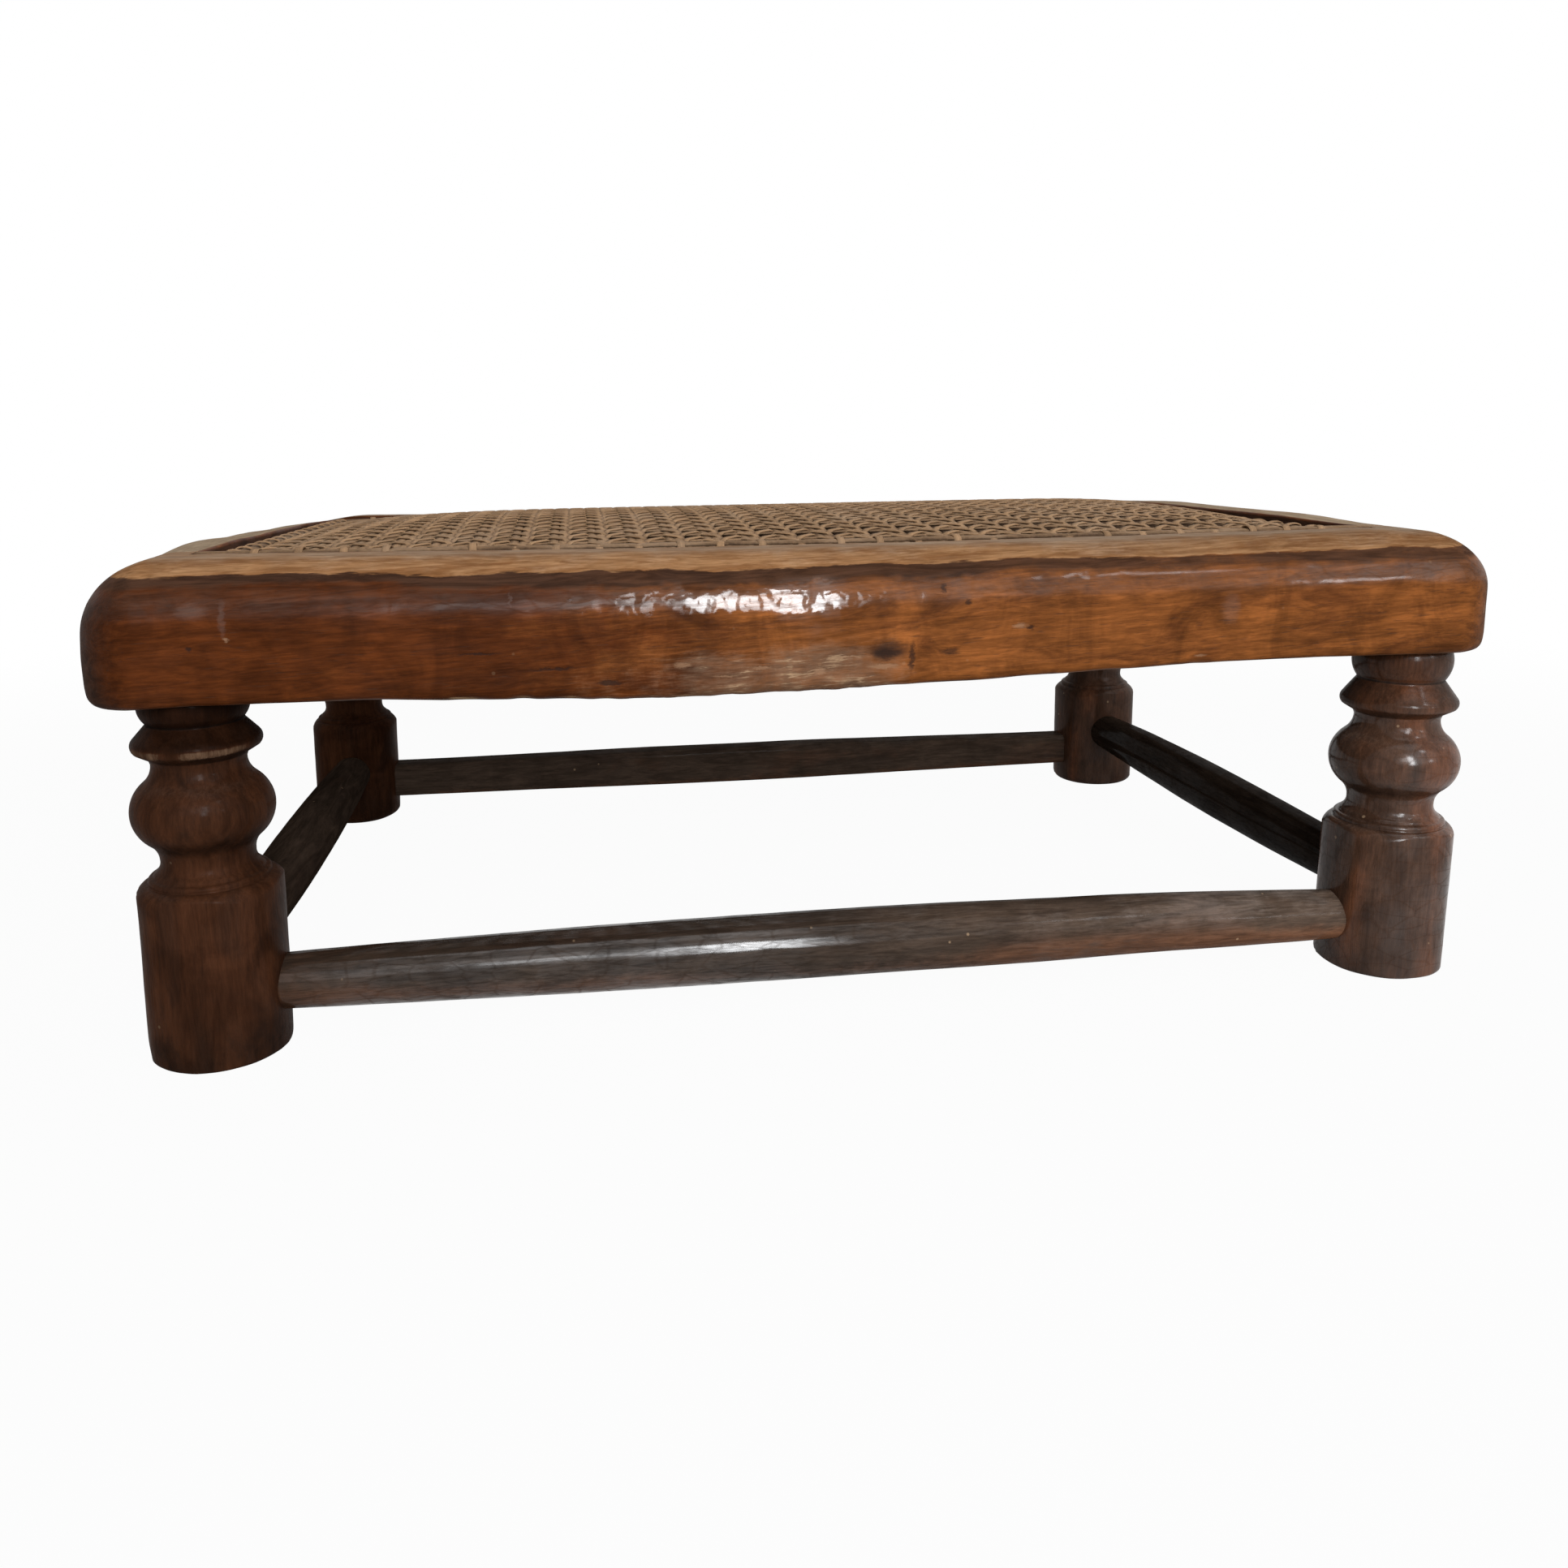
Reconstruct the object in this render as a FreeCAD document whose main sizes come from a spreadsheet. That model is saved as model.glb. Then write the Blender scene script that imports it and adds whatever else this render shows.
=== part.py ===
import FreeCAD, Part
import os
import Sketcher

# Low footstool: four rails round a caned seat, four turned legs, four box stretchers.
# Millimetres, Z up, X to the right along the long side, Y to the back.
# The origin lies on the floor under the middle of the seat.

document = FreeCAD.newDocument("caned_footstool")
sheet = document.addObject("Spreadsheet::Sheet", "dims")

driving_sizes = {
    # Seat frame
    "seat_width": 404.0,
    "seat_depth": 268.0,
    "seat_height": 140.0,
    "rail_thickness": 36.0,
    "front_land": 29.0,
    "side_land": 26.0,
    "ledge_width": 9.0,
    "rebate_depth": 4.0,
    "corner_radius": 18.0,
    "top_round": 17.0,
    "lower_round": 3.0,
    "rail_tenon_length": 8.0,
    "rail_tenon_width": 12.0,
    "rail_tenon_height": 22.0,
    "rail_tenon_lift": 6.0,
    "fit_gap": 0.1,
    # Places of the legs, measured from the outer faces of the seat frame
    "left_leg_inset": 25.8,
    "right_leg_inset": 19.5,
    "leg_setback": 20.0,
    # Turned leg, from the floor up
    "foot_radius": 19.3,
    "foot_flat": 18.1,
    "foot_wear": 2.5,
    "shoulder_height": 45.0,
    "shoulder_curve": 5.0,
    "scribe_outer_radius": 16.7,
    "scribe_radius": 15.9,
    "scribe_height": 49.2,
    "scribe_top": 50.1,
    "cove_radius": 14.1,
    "cove_height": 51.9,
    "cove_curve": 4.2,
    "lower_neck_radius": 12.35,
    "lower_neck_height": 55.3,
    "lower_neck_curve": 6.6,
    "ball_end_radius": 14.8,
    "ball_bottom": 60.5,
    "ball_top": 76.9,
    "ball_curve": 10.6,
    "upper_neck_radius": 12.2,
    "upper_neck_height": 82.4,
    "upper_neck_curve": 7.0,
    "disc_root_radius": 12.7,
    "disc_root_height": 83.9,
    "disc_edge_radius": 16.2,
    "disc_edge_bottom": 86.0,
    "disc_edge_top": 89.2,
    "disc_edge_curve": 2.45,
    "groove_radius": 12.3,
    "groove_height": 94.6,
    "front_bead_curve": 6.4,
    "back_bead_curve": 8.0,
    "bead_top_radius": 13.0,
    "leg_tenon_radius": 8.0,
    "leg_tenon_length": 22.0,
    # How much higher the turning sits on one leg than on another, by hand
    "front_left_lift": 1.9,
    "front_right_lift": -1.4,
    "back_left_lift": -2.6,
    "back_right_lift": -1.0,
    # Stretchers
    "stretcher_tenon_radius": 5.5,
    "stretcher_tenon_length": 9.0,
    "stretcher_end_radius": 7.9,
    "front_swell_radius": 10.1,
    "side_swell_radius": 9.7,
    "back_bar_height": 16.0,
    "back_bar_depth": 13.0,
    "back_bar_arris": 2.6,
    "front_stretcher_height": 17.2,
    "back_stretcher_height": 16.3,
    "left_stretcher_height": 23.6,
    "right_stretcher_height": 26.3,
    # Caned seat
    "cane_hole_radius": 2.0,
    "width_spaces": 29,
    "depth_spaces": 18,
    "panel_thickness": 1.1,
    "panel_gap": 0.3,
    "panel_columns": 22,
    "panel_rows": 13,
    "strand_width": 2.6,
    "binder_width": 4.6,
    "binder_thickness": 1.0,
    "binder_edge": 0.3,
    "tie_width": 2.4,
    "tie_thickness": 0.7,
    "tie_gap": 0.1,
}

for row, (name, value) in enumerate(driving_sizes.items(), start=1):
    sheet.set(f"A{row}", name)
    sheet.set(f"B{row}", str(value))
    sheet.setAlias(f"B{row}", name)
document.recompute()


# A size is a number together with the sheet formula that gives it.
class Size:
    def __init__(self, value, formula):
        self.value = value
        self.formula = formula

    def __add__(self, other):
        other = as_size(other)
        return Size(self.value + other.value, f"({self.formula} + {other.formula})")

    def __sub__(self, other):
        other = as_size(other)
        return Size(self.value - other.value, f"({self.formula} - {other.formula})")

    def __mul__(self, other):
        other = as_size(other)
        return Size(self.value * other.value, f"({self.formula} * {other.formula})")

    def __truediv__(self, other):
        other = as_size(other)
        return Size(self.value / other.value, f"({self.formula} / {other.formula})")

    def __neg__(self):
        return Size(-self.value, f"(-1 * {self.formula})")


# The sides to which an arc can bulge, seen along the way of its outline
on_the_left = 1
on_the_right = -1


def as_size(number):
    if isinstance(number, Size):
        return number
    return Size(number, str(number))


def cell(name):
    return Size(float(sheet.get(name)), f"dims.{name}")


def bind(target, **sizes):
    for name, size in sizes.items():
        target.setExpression(name, as_size(size).formula)


def place(target, x=0, y=0, z=0, axis=FreeCAD.Vector(0, 0, 1), turn=0):
    target.Placement = FreeCAD.Placement(FreeCAD.Vector(0, 0, 0), FreeCAD.Rotation(axis, turn))
    for direction, size in (("x", x), ("y", y), ("z", z)):
        target.setExpression(f"Placement.Base.{direction}", as_size(size).formula)


def new_body(label):
    body = document.addObject("PartDesign::Body", label)
    body.Label = label
    return body


def origin_feature(body, role):
    return next(feature for feature in body.Origin.OriginFeatures if feature.Role == role)


def solid_step(body, kind, name, x=0, y=0, z=0, axis=FreeCAD.Vector(0, 0, 1), turn=0, **sizes):
    step = body.newObject(f"PartDesign::{kind}", f"{body.Name}_{name}")
    bind(step, **sizes)
    place(step, x, y, z, axis, turn)
    document.recompute()
    return step


def edges_where(step, wanted):
    return [f"Edge{number}" for number, edge in enumerate(step.Shape.Edges, start=1) if wanted(edge)]


def round_edges(body, name, radius, wanted):
    step = body.Tip
    fillet = body.newObject("PartDesign::Fillet", f"{body.Name}_{name}")
    fillet.Base = (step, edges_where(step, wanted))
    bind(fillet, Radius=radius)
    document.recompute()
    return fillet


def row_of_copies(body, name, original, direction, length, count):
    pattern = body.newObject("PartDesign::LinearPattern", f"{body.Name}_{name}")
    pattern.Originals = [original]
    pattern.Direction = (origin_feature(body, direction), [""])
    bind(pattern, Length=length, Occurrences=count)
    body.Tip = pattern
    document.recompute()
    return pattern


# Draws a closed outline in the XZ plane through corners of two sizes each, all bound to the sheet.
# A bend is the radius and the side of the arc that leaves the corner of that number.
def bound_outline(body, name, corners, bends):
    sketch = body.newObject("Sketcher::SketchObject", f"{body.Name}_{name}")
    sketch.AttachmentSupport = [(origin_feature(body, "XZ_Plane"), "")]
    sketch.MapMode = "FlatFace"
    points = [FreeCAD.Vector(across.value, up.value, 0) for across, up in corners]
    for number, start in enumerate(points):
        end = points[(number + 1) % len(points)]
        if number in bends:
            radius, side = bends[number]
            sketch.addGeometry(arc_between(start, end, radius.value, side), False)
        else:
            sketch.addGeometry(Part.LineSegment(start, end), False)
    joints = [ends_of(sketch.Geometry[number], start) for number, start in enumerate(points)]
    for number, (first, last) in enumerate(joints):
        following = (number + 1) % len(points)
        sketch.addConstraint(Sketcher.Constraint("Coincident", number, last, following, joints[following][0]))
    for number, (across, up) in enumerate(corners):
        for kind, size in (("DistanceX", across), ("DistanceY", up)):
            index = sketch.addConstraint(
                Sketcher.Constraint(kind, -1, 1, number, joints[number][0], size.value))
            sketch.setExpression(f"Constraints[{index}]", size.formula)
    for number, (radius, side) in bends.items():
        index = sketch.addConstraint(Sketcher.Constraint("Radius", number, radius.value))
        sketch.setExpression(f"Constraints[{index}]", radius.formula)
    document.recompute()
    return sketch


# The arc of a given radius between two points, bulging to one side of the way.
# It is always drawn anticlockwise, from its end to its start where it bulges to the left.
def arc_between(start, end, radius, side):
    way = end - start
    outward = FreeCAD.Vector(-way.y, way.x, 0).normalize() * side
    rise = radius - (radius ** 2 - (way.Length / 2) ** 2) ** 0.5
    crown = (start + end) * 0.5 + outward * rise
    if side == on_the_left:
        return Part.Arc(end, crown, start)
    return Part.Arc(start, crown, end)


# The numbers by which a sketch knows a segment's first and last point, along the way of the outline.
def ends_of(segment, start):
    if segment.StartPoint.distanceToPoint(start) < segment.EndPoint.distanceToPoint(start):
        return 1, 2
    return 2, 1


def revolved(body, sketch, axis):
    turning = body.newObject("PartDesign::Revolution", f"{body.Name}_turning")
    turning.Profile = sketch
    turning.ReferenceAxis = (origin_feature(body, axis), [""])
    turning.Angle = 360.0
    document.recompute()
    return turning


# Sizes that follow from the driving ones
zero = as_size(0)
half_width = cell("seat_width") / 2
half_depth = cell("seat_depth") / 2
rail_thickness = cell("rail_thickness")
rail_underside = cell("seat_height") - rail_thickness
ledge_height = rail_thickness - cell("rebate_depth")
long_rail_width = cell("front_land") + cell("ledge_width")
side_rail_width = cell("side_land") + cell("ledge_width")
side_rail_length = cell("seat_depth") - long_rail_width * 2
recess_half_width = half_width - cell("side_land")
recess_half_depth = half_depth - cell("front_land")
hole_line_x = recess_half_width - cell("ledge_width") / 2
hole_line_y = recess_half_depth - cell("ledge_width") / 2
hole_pitch_x = hole_line_x * 2 / cell("width_spaces")
hole_pitch_y = hole_line_y * 2 / cell("depth_spaces")
left_leg_x = cell("left_leg_inset") - half_width
right_leg_x = half_width - cell("right_leg_inset")
front_leg_y = cell("leg_setback") - half_depth
back_leg_y = half_depth - cell("leg_setback")
fit_gap = cell("fit_gap")


def is_upright(edge):
    return abs(edge.Vertexes[0].Z - edge.Vertexes[-1].Z) > 1


def at_height(edge, height):
    box = edge.BoundBox
    return abs(box.ZMin - height) < 0.01 and abs(box.ZMax - height) < 0.01


# A row of caning holes through the ledge, along the rail's own X.
def drill_ledge(body, hole_y, pitch, spaces):
    length = pitch * spaces
    hole = solid_step(body, "SubtractiveCylinder", "cane_hole", x=-length / 2, y=hole_y,
                      Radius=cell("cane_hole_radius"), Height=rail_thickness)
    row_of_copies(body, "cane_holes", hole, "X_Axis", length, spaces + 1)


# Front or back rail: it runs the full width, its outer face is at Y 0 and its underside at Z 0.
def long_rail(label, near_inset, far_inset, side, turn):
    body = new_body(label)
    solid_step(body, "AdditiveBox", "blank", x=-half_width,
               Length=cell("seat_width"), Width=long_rail_width, Height=rail_thickness)
    round_edges(body, "corners", cell("corner_radius"),
                lambda edge: is_upright(edge) and edge.BoundBox.YMax < 0.01)
    inner_face = long_rail_width.value
    round_edges(body, "top_edge", cell("top_round"),
                lambda edge: at_height(edge, rail_thickness.value) and edge.BoundBox.YMin < inner_face - 0.01)
    round_edges(body, "lower_edge", cell("lower_round"),
                lambda edge: at_height(edge, 0) and edge.BoundBox.YMin < inner_face - 0.01)
    solid_step(body, "SubtractiveBox", "rebate", x=-recess_half_width, y=cell("front_land"), z=ledge_height,
               Length=recess_half_width * 2, Width=cell("ledge_width"), Height=cell("rebate_depth"))
    mortise_width = cell("rail_tenon_width") + fit_gap * 2
    mortise_depth = cell("rail_tenon_length") + fit_gap * 2
    mortise_x = half_width - side_rail_width / 2
    for end, middle in (("near", -mortise_x), ("far", mortise_x)):
        solid_step(body, "SubtractiveBox", f"{end}_mortise", x=middle - mortise_width / 2,
                   y=long_rail_width - mortise_depth, z=cell("rail_tenon_lift") - fit_gap,
                   Length=mortise_width, Width=mortise_depth, Height=cell("rail_tenon_height") + fit_gap * 2)
    for end, socket_x in (("near", near_inset - half_width), ("far", half_width - far_inset)):
        solid_step(body, "SubtractiveCylinder", f"{end}_socket", x=socket_x, y=cell("leg_setback"),
                   Radius=cell("leg_tenon_radius") + fit_gap, Height=cell("leg_tenon_length") + fit_gap * 2)
    drill_ledge(body, long_rail_width - cell("ledge_width") / 2, hole_pitch_x, cell("width_spaces"))
    place(body, y=half_depth * side, z=rail_underside, turn=turn)
    return body


# Left or right rail: it runs between the long rails and keys into them with a stub tenon at each end.
def side_rail(label, side, turn):
    body = new_body(label)
    solid_step(body, "AdditiveBox", "blank", x=-side_rail_length / 2,
               Length=side_rail_length, Width=side_rail_width, Height=rail_thickness)
    round_edges(body, "top_edge", cell("top_round"),
                lambda edge: at_height(edge, rail_thickness.value) and edge.BoundBox.YMax < 0.01)
    round_edges(body, "lower_edge", cell("lower_round"),
                lambda edge: at_height(edge, 0) and edge.BoundBox.YMax < 0.01)
    solid_step(body, "SubtractiveBox", "rebate", x=-side_rail_length / 2, y=cell("side_land"), z=ledge_height,
               Length=side_rail_length, Width=cell("ledge_width"), Height=cell("rebate_depth"))
    tenon_reach = side_rail_length / 2 + cell("rail_tenon_length")
    solid_step(body, "AdditiveBox", "tenons", x=-tenon_reach,
               y=side_rail_width / 2 - cell("rail_tenon_width") / 2, z=cell("rail_tenon_lift"),
               Length=tenon_reach * 2, Width=cell("rail_tenon_width"), Height=cell("rail_tenon_height"))
    drill_ledge(body, side_rail_width - cell("ledge_width") / 2, hole_pitch_y, cell("depth_spaces") - 2)
    place(body, x=half_width * side, z=rail_underside, turn=turn)
    return body


# Turned leg on its own axis, with mortises that face +X and +Y.
def turned_leg(label, x, y, turn, x_mortise_height, y_mortise_height):
    body = new_body(label)
    lift = cell(label.replace("_leg", "_lift"))
    bead_curve = cell(label.split("_")[0] + "_bead_curve")

    def raised(name):
        return cell(name) + lift

    tenon_top = rail_underside + cell("leg_tenon_length")
    corners = [
        (zero, zero),
        (cell("foot_radius") - cell("foot_wear"), zero),
        (cell("foot_radius"), cell("foot_wear")),
        (cell("foot_radius"), raised("shoulder_height")),
        (cell("scribe_outer_radius"), raised("scribe_height")),
        (cell("scribe_radius"), raised("scribe_top")),
        (cell("cove_radius"), raised("cove_height")),
        (cell("lower_neck_radius"), raised("lower_neck_height")),
        (cell("ball_end_radius"), raised("ball_bottom")),
        (cell("ball_end_radius"), raised("ball_top")),
        (cell("upper_neck_radius"), raised("upper_neck_height")),
        (cell("disc_root_radius"), raised("disc_root_height")),
        (cell("disc_edge_radius"), raised("disc_edge_bottom")),
        (cell("disc_edge_radius"), raised("disc_edge_top")),
        (cell("groove_radius"), raised("groove_height")),
        (cell("bead_top_radius"), rail_underside),
        (cell("leg_tenon_radius"), rail_underside),
        (cell("leg_tenon_radius"), tenon_top),
        (zero, tenon_top),
    ]
    bulge, hollow = on_the_right, on_the_left
    bends = {
        1: (cell("foot_wear"), bulge),
        3: (cell("shoulder_curve"), bulge),
        6: (cell("cove_curve"), hollow),
        7: (cell("lower_neck_curve"), hollow),
        8: (cell("ball_curve"), bulge),
        9: (cell("upper_neck_curve"), hollow),
        12: (cell("disc_edge_curve"), bulge),
        14: (bead_curve, bulge),
    }
    profile = bound_outline(body, "profile", corners, bends)
    revolved(body, profile, "Z_Axis")
    flat = cell("foot_flat")
    side_cut = solid_step(body, "SubtractiveBox", "flat", x=flat, y=-cell("foot_radius"),
                          Length=flat, Width=cell("foot_radius") * 2, Height=raised("ball_bottom"))
    flats = body.newObject("PartDesign::PolarPattern", f"{body.Name}_flats")
    flats.Originals = [side_cut]
    flats.Axis = (origin_feature(body, "Z_Axis"), [""])
    flats.Angle = 360.0
    flats.Occurrences = 4
    body.Tip = flats
    document.recompute()
    mortise = {"Radius": cell("stretcher_tenon_radius") + fit_gap, "Height": flat}
    mortise_floor = flat - cell("stretcher_tenon_length") - fit_gap * 2
    solid_step(body, "SubtractiveCylinder", "x_mortise", x=mortise_floor, z=x_mortise_height,
               axis=FreeCAD.Vector(0, 1, 0), turn=90, **mortise)
    solid_step(body, "SubtractiveCylinder", "y_mortise", y=mortise_floor, z=y_mortise_height,
               axis=FreeCAD.Vector(1, 0, 0), turn=-90, **mortise)
    place(body, x=x, y=y, turn=turn)
    return body


# Round stretcher along X: it swells to the middle, and its tenons go into two feet.
def round_stretcher(label, span, swell_radius, x, y, z, turn):
    body = new_body(label)
    end_radius = cell("stretcher_end_radius")
    tenon_radius = cell("stretcher_tenon_radius")
    reach = tenon_reach(span)
    rise = swell_radius - end_radius
    swell_curve = (span * span / 4 + rise * rise) / (rise * 2)
    corners = [
        (-reach, zero),
        (-reach, tenon_radius),
        (-span / 2, tenon_radius),
        (-span / 2, end_radius),
        (span / 2, end_radius),
        (span / 2, tenon_radius),
        (reach, tenon_radius),
        (reach, zero),
    ]
    profile = bound_outline(body, "profile", corners, {3: (swell_curve, on_the_left)})
    revolved(body, profile, "X_Axis")
    place(body, x=x, y=y, z=z, turn=turn)
    return body


def tenon_reach(span):
    return span / 2 + cell("stretcher_tenon_length")


# Back stretcher: a squared bar with hewn arrises and round tenons.
def squared_stretcher(label, span, x, y, z):
    body = new_body(label)
    height = cell("back_bar_height")
    depth = cell("back_bar_depth")
    solid_step(body, "AdditiveBox", "bar", x=-span / 2, y=-depth / 2, z=-height / 2,
               Length=span, Width=depth, Height=height)
    step = body.Tip
    chamfer = body.newObject("PartDesign::Chamfer", f"{label}_arrises")
    chamfer.Base = (step, edges_where(step, lambda edge: edge.Length > span.value - 1))
    bind(chamfer, Size=cell("back_bar_arris"))
    reach = tenon_reach(span)
    solid_step(body, "AdditiveCylinder", "tenons", x=-reach, axis=FreeCAD.Vector(0, 1, 0), turn=90,
               Radius=cell("stretcher_tenon_radius"), Height=reach * 2)
    place(body, x=x, y=y, z=z)
    return body


# The seat's net: one sheet that rests on the ledge, with a gap between each pair of strands.
def cane_panel(label):
    panel = document.addObject("Part::Feature", label)
    half_x = (recess_half_width - cell("panel_gap")).value
    half_y = (recess_half_depth - cell("panel_gap")).value
    field_x = (half_width - side_rail_width).value
    field_y = (half_depth - long_rail_width).value
    columns = int(cell("panel_columns").value)
    rows = int(cell("panel_rows").value)
    strand = cell("strand_width").value
    step_x = (field_x * 2 - strand) / columns
    step_y = (field_y * 2 - strand) / rows
    wires = [rectangle(-half_x, -half_y, half_x, half_y)]
    for column in range(columns):
        for line in range(rows):
            left = -field_x + strand + column * step_x
            front = -field_y + strand + line * step_y
            wires.append(rectangle(left, front, left + step_x - strand, front + step_y - strand))
    net = Part.Face(wires)
    net.validate()
    panel.Shape = net.extrude(FreeCAD.Vector(0, 0, cell("panel_thickness").value))
    place(panel, z=rail_underside + ledge_height)
    return panel


def rectangle(left, front, right, back):
    corners = [(left, front), (right, front), (right, back), (left, back), (left, front)]
    return Part.makePolygon([FreeCAD.Vector(x, y, 0) for x, y in corners])


# Binder: a flat strip along X that covers one row of holes, its upper edges eased.
def cane_binder(label, length, x, y, turn):
    body = new_body(label)
    width = cell("binder_width")
    thickness = cell("binder_thickness")
    solid_step(body, "AdditiveBox", "strip", x=-length / 2, y=-width / 2,
               Length=length, Width=width, Height=thickness)
    step = body.Tip
    chamfer = body.newObject("PartDesign::Chamfer", f"{label}_edges")
    chamfer.Base = (step, edges_where(
        step, lambda edge: edge.Length > length.value - 1 and at_height(edge, thickness.value)))
    bind(chamfer, Size=cell("binder_edge"))
    place(body, x=x, y=y, z=panel_top, turn=turn)
    return body


# Ties along one binder: each is a loop of strand over the strip, down to the net on both sides.
def cane_ties(label, pitch, count, x, y, turn):
    ties = document.addObject("Part::Feature", label)
    inner = (cell("binder_width") / 2 + cell("tie_gap")).value
    outer = inner + cell("tie_thickness").value
    under = cell("binder_thickness").value
    over = under + cell("tie_thickness").value
    width = cell("tie_width").value
    arch = [(-outer, 0), (-inner, 0), (-inner, under), (inner, under), (inner, 0), (outer, 0),
            (outer, over), (-outer, over), (-outer, 0)]
    outline = Part.makePolygon([FreeCAD.Vector(-width / 2, across, up) for across, up in arch])
    loop = Part.Face(outline).extrude(FreeCAD.Vector(width, 0, 0))
    first = -pitch.value * (count - 1) / 2
    loops = [loop.translated(FreeCAD.Vector(first + number * pitch.value, 0, 0)) for number in range(count)]
    ties.Shape = Part.makeCompound(loops)
    place(ties, x=x, y=y, z=panel_top, turn=turn)
    return ties


panel_top = rail_underside + ledge_height + cell("panel_thickness")
left_inset = cell("left_leg_inset")
right_inset = cell("right_leg_inset")
front_height = cell("front_stretcher_height")
back_height = cell("back_stretcher_height")
left_height = cell("left_stretcher_height")
right_height = cell("right_stretcher_height")
flat_size = cell("foot_flat")
long_span = right_leg_x - left_leg_x - flat_size * 2
side_span = back_leg_y - front_leg_y - flat_size * 2
long_middle = (left_leg_x + right_leg_x) / 2
long_binder = (recess_half_width - cell("panel_gap")) * 2
side_binder = (hole_line_y - cell("binder_width") / 2 - cell("panel_gap")) * 2
long_ties = int(cell("width_spaces").value) - 1
side_ties = int(cell("depth_spaces").value) - 1

subparts = [
    long_rail("front_seat_rail", left_inset, right_inset, -1, 0),
    long_rail("back_seat_rail", right_inset, left_inset, 1, 180),
    side_rail("left_seat_rail", -1, -90),
    side_rail("right_seat_rail", 1, 90),
    turned_leg("front_left_leg", left_leg_x, front_leg_y, 0, front_height, left_height),
    turned_leg("front_right_leg", right_leg_x, front_leg_y, 90, right_height, front_height),
    turned_leg("back_right_leg", right_leg_x, back_leg_y, 180, back_height, right_height),
    turned_leg("back_left_leg", left_leg_x, back_leg_y, 270, left_height, back_height),
    round_stretcher("front_stretcher", long_span, cell("front_swell_radius"),
                    long_middle, front_leg_y, front_height, 0),
    squared_stretcher("back_stretcher", long_span, long_middle, back_leg_y, back_height),
    round_stretcher("left_stretcher", side_span, cell("side_swell_radius"),
                    left_leg_x, zero, left_height, 90),
    round_stretcher("right_stretcher", side_span, cell("side_swell_radius"),
                    right_leg_x, zero, right_height, 90),
    cane_panel("cane_panel"),
    cane_binder("front_cane_binder", long_binder, zero, -hole_line_y, 0),
    cane_binder("back_cane_binder", long_binder, zero, hole_line_y, 0),
    cane_binder("left_cane_binder", side_binder, -hole_line_x, zero, 90),
    cane_binder("right_cane_binder", side_binder, hole_line_x, zero, 90),
    cane_ties("front_cane_ties", hole_pitch_x, long_ties, zero, -hole_line_y, 0),
    cane_ties("back_cane_ties", hole_pitch_x, long_ties, zero, hole_line_y, 0),
    cane_ties("left_cane_ties", hole_pitch_y, side_ties, -hole_line_x, zero, 90),
    cane_ties("right_cane_ties", hole_pitch_y, side_ties, hole_line_x, zero, 90),
]
document.recompute()

for item in document.Objects:
    if "Invalid" in item.State or "Error" in item.State:
        raise RuntimeError(f"{item.Label} failed: {item.State}")
for subpart in subparts:
    if subpart.Shape.isNull() or not subpart.Shape.isValid():
        raise RuntimeError(f"{subpart.Label} has no valid shape")

os.makedirs("parts", exist_ok=True)
for subpart in subparts:
    subpart.Shape.exportStep(f"parts/{subpart.Label}.step")
    print(subpart.Label, len(subpart.Shape.Solids), "solids", round(subpart.Shape.Volume / 1000, 2), "cm3")
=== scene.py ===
import bmesh
import bpy
import math
import random
from mathutils import Matrix, Vector, kdtree, noise


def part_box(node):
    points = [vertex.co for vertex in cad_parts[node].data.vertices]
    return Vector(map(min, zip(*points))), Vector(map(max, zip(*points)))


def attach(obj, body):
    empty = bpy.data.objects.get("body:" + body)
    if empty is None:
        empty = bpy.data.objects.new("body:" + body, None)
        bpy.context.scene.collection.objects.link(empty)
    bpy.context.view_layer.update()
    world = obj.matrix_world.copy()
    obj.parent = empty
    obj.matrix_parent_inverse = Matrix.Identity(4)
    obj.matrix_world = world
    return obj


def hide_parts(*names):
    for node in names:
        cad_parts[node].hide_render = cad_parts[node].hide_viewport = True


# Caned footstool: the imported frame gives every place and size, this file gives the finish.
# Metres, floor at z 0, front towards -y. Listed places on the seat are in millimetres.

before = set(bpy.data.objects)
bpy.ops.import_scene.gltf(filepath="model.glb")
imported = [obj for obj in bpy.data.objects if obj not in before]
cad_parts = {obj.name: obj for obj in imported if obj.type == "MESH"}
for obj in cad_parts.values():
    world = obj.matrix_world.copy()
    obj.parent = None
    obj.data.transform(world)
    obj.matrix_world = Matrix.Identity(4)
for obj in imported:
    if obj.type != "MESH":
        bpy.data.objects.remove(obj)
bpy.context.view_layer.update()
scene = bpy.context.scene
mm = 0.001
fullTurn = 2.0 * math.pi


def smoothStep(low, high, value):
    t = min(max((value - low) / (high - low), 0.0), 1.0)
    return t * t * (3.0 - 2.0 * t)


def wobble(point, lump, seed):
    # smooth noise from -1 to 1, with lumps of about that size
    return noise.noise(point / lump + Vector((7.31, 3.17, 5.73)) * seed)


def alongStations(stations, x):
    # eases from one listed (place, value) pair to the next
    for (x0, value0), (x1, value1) in zip(stations, stations[1:]):
        if x <= x1:
            return value0 + (value1 - value0) * smoothStep(x0, x1, x)
    return stations[-1][1]


def between(low, rise, fall, high, value):
    # 1 from rise to fall, easing to 0 at low and at high
    return smoothStep(low, rise, value) * (1.0 - smoothStep(fall, high, value))


def middleOf(nodeName):
    low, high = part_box(nodeName)
    return (low + high) / 2


# Shader helpers

def plug(tree, node, inputs):
    for key, value in inputs.items():
        if isinstance(value, bpy.types.NodeSocket):
            tree.links.new(value, node.inputs[key])
        else:
            node.inputs[key].default_value = value


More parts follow.
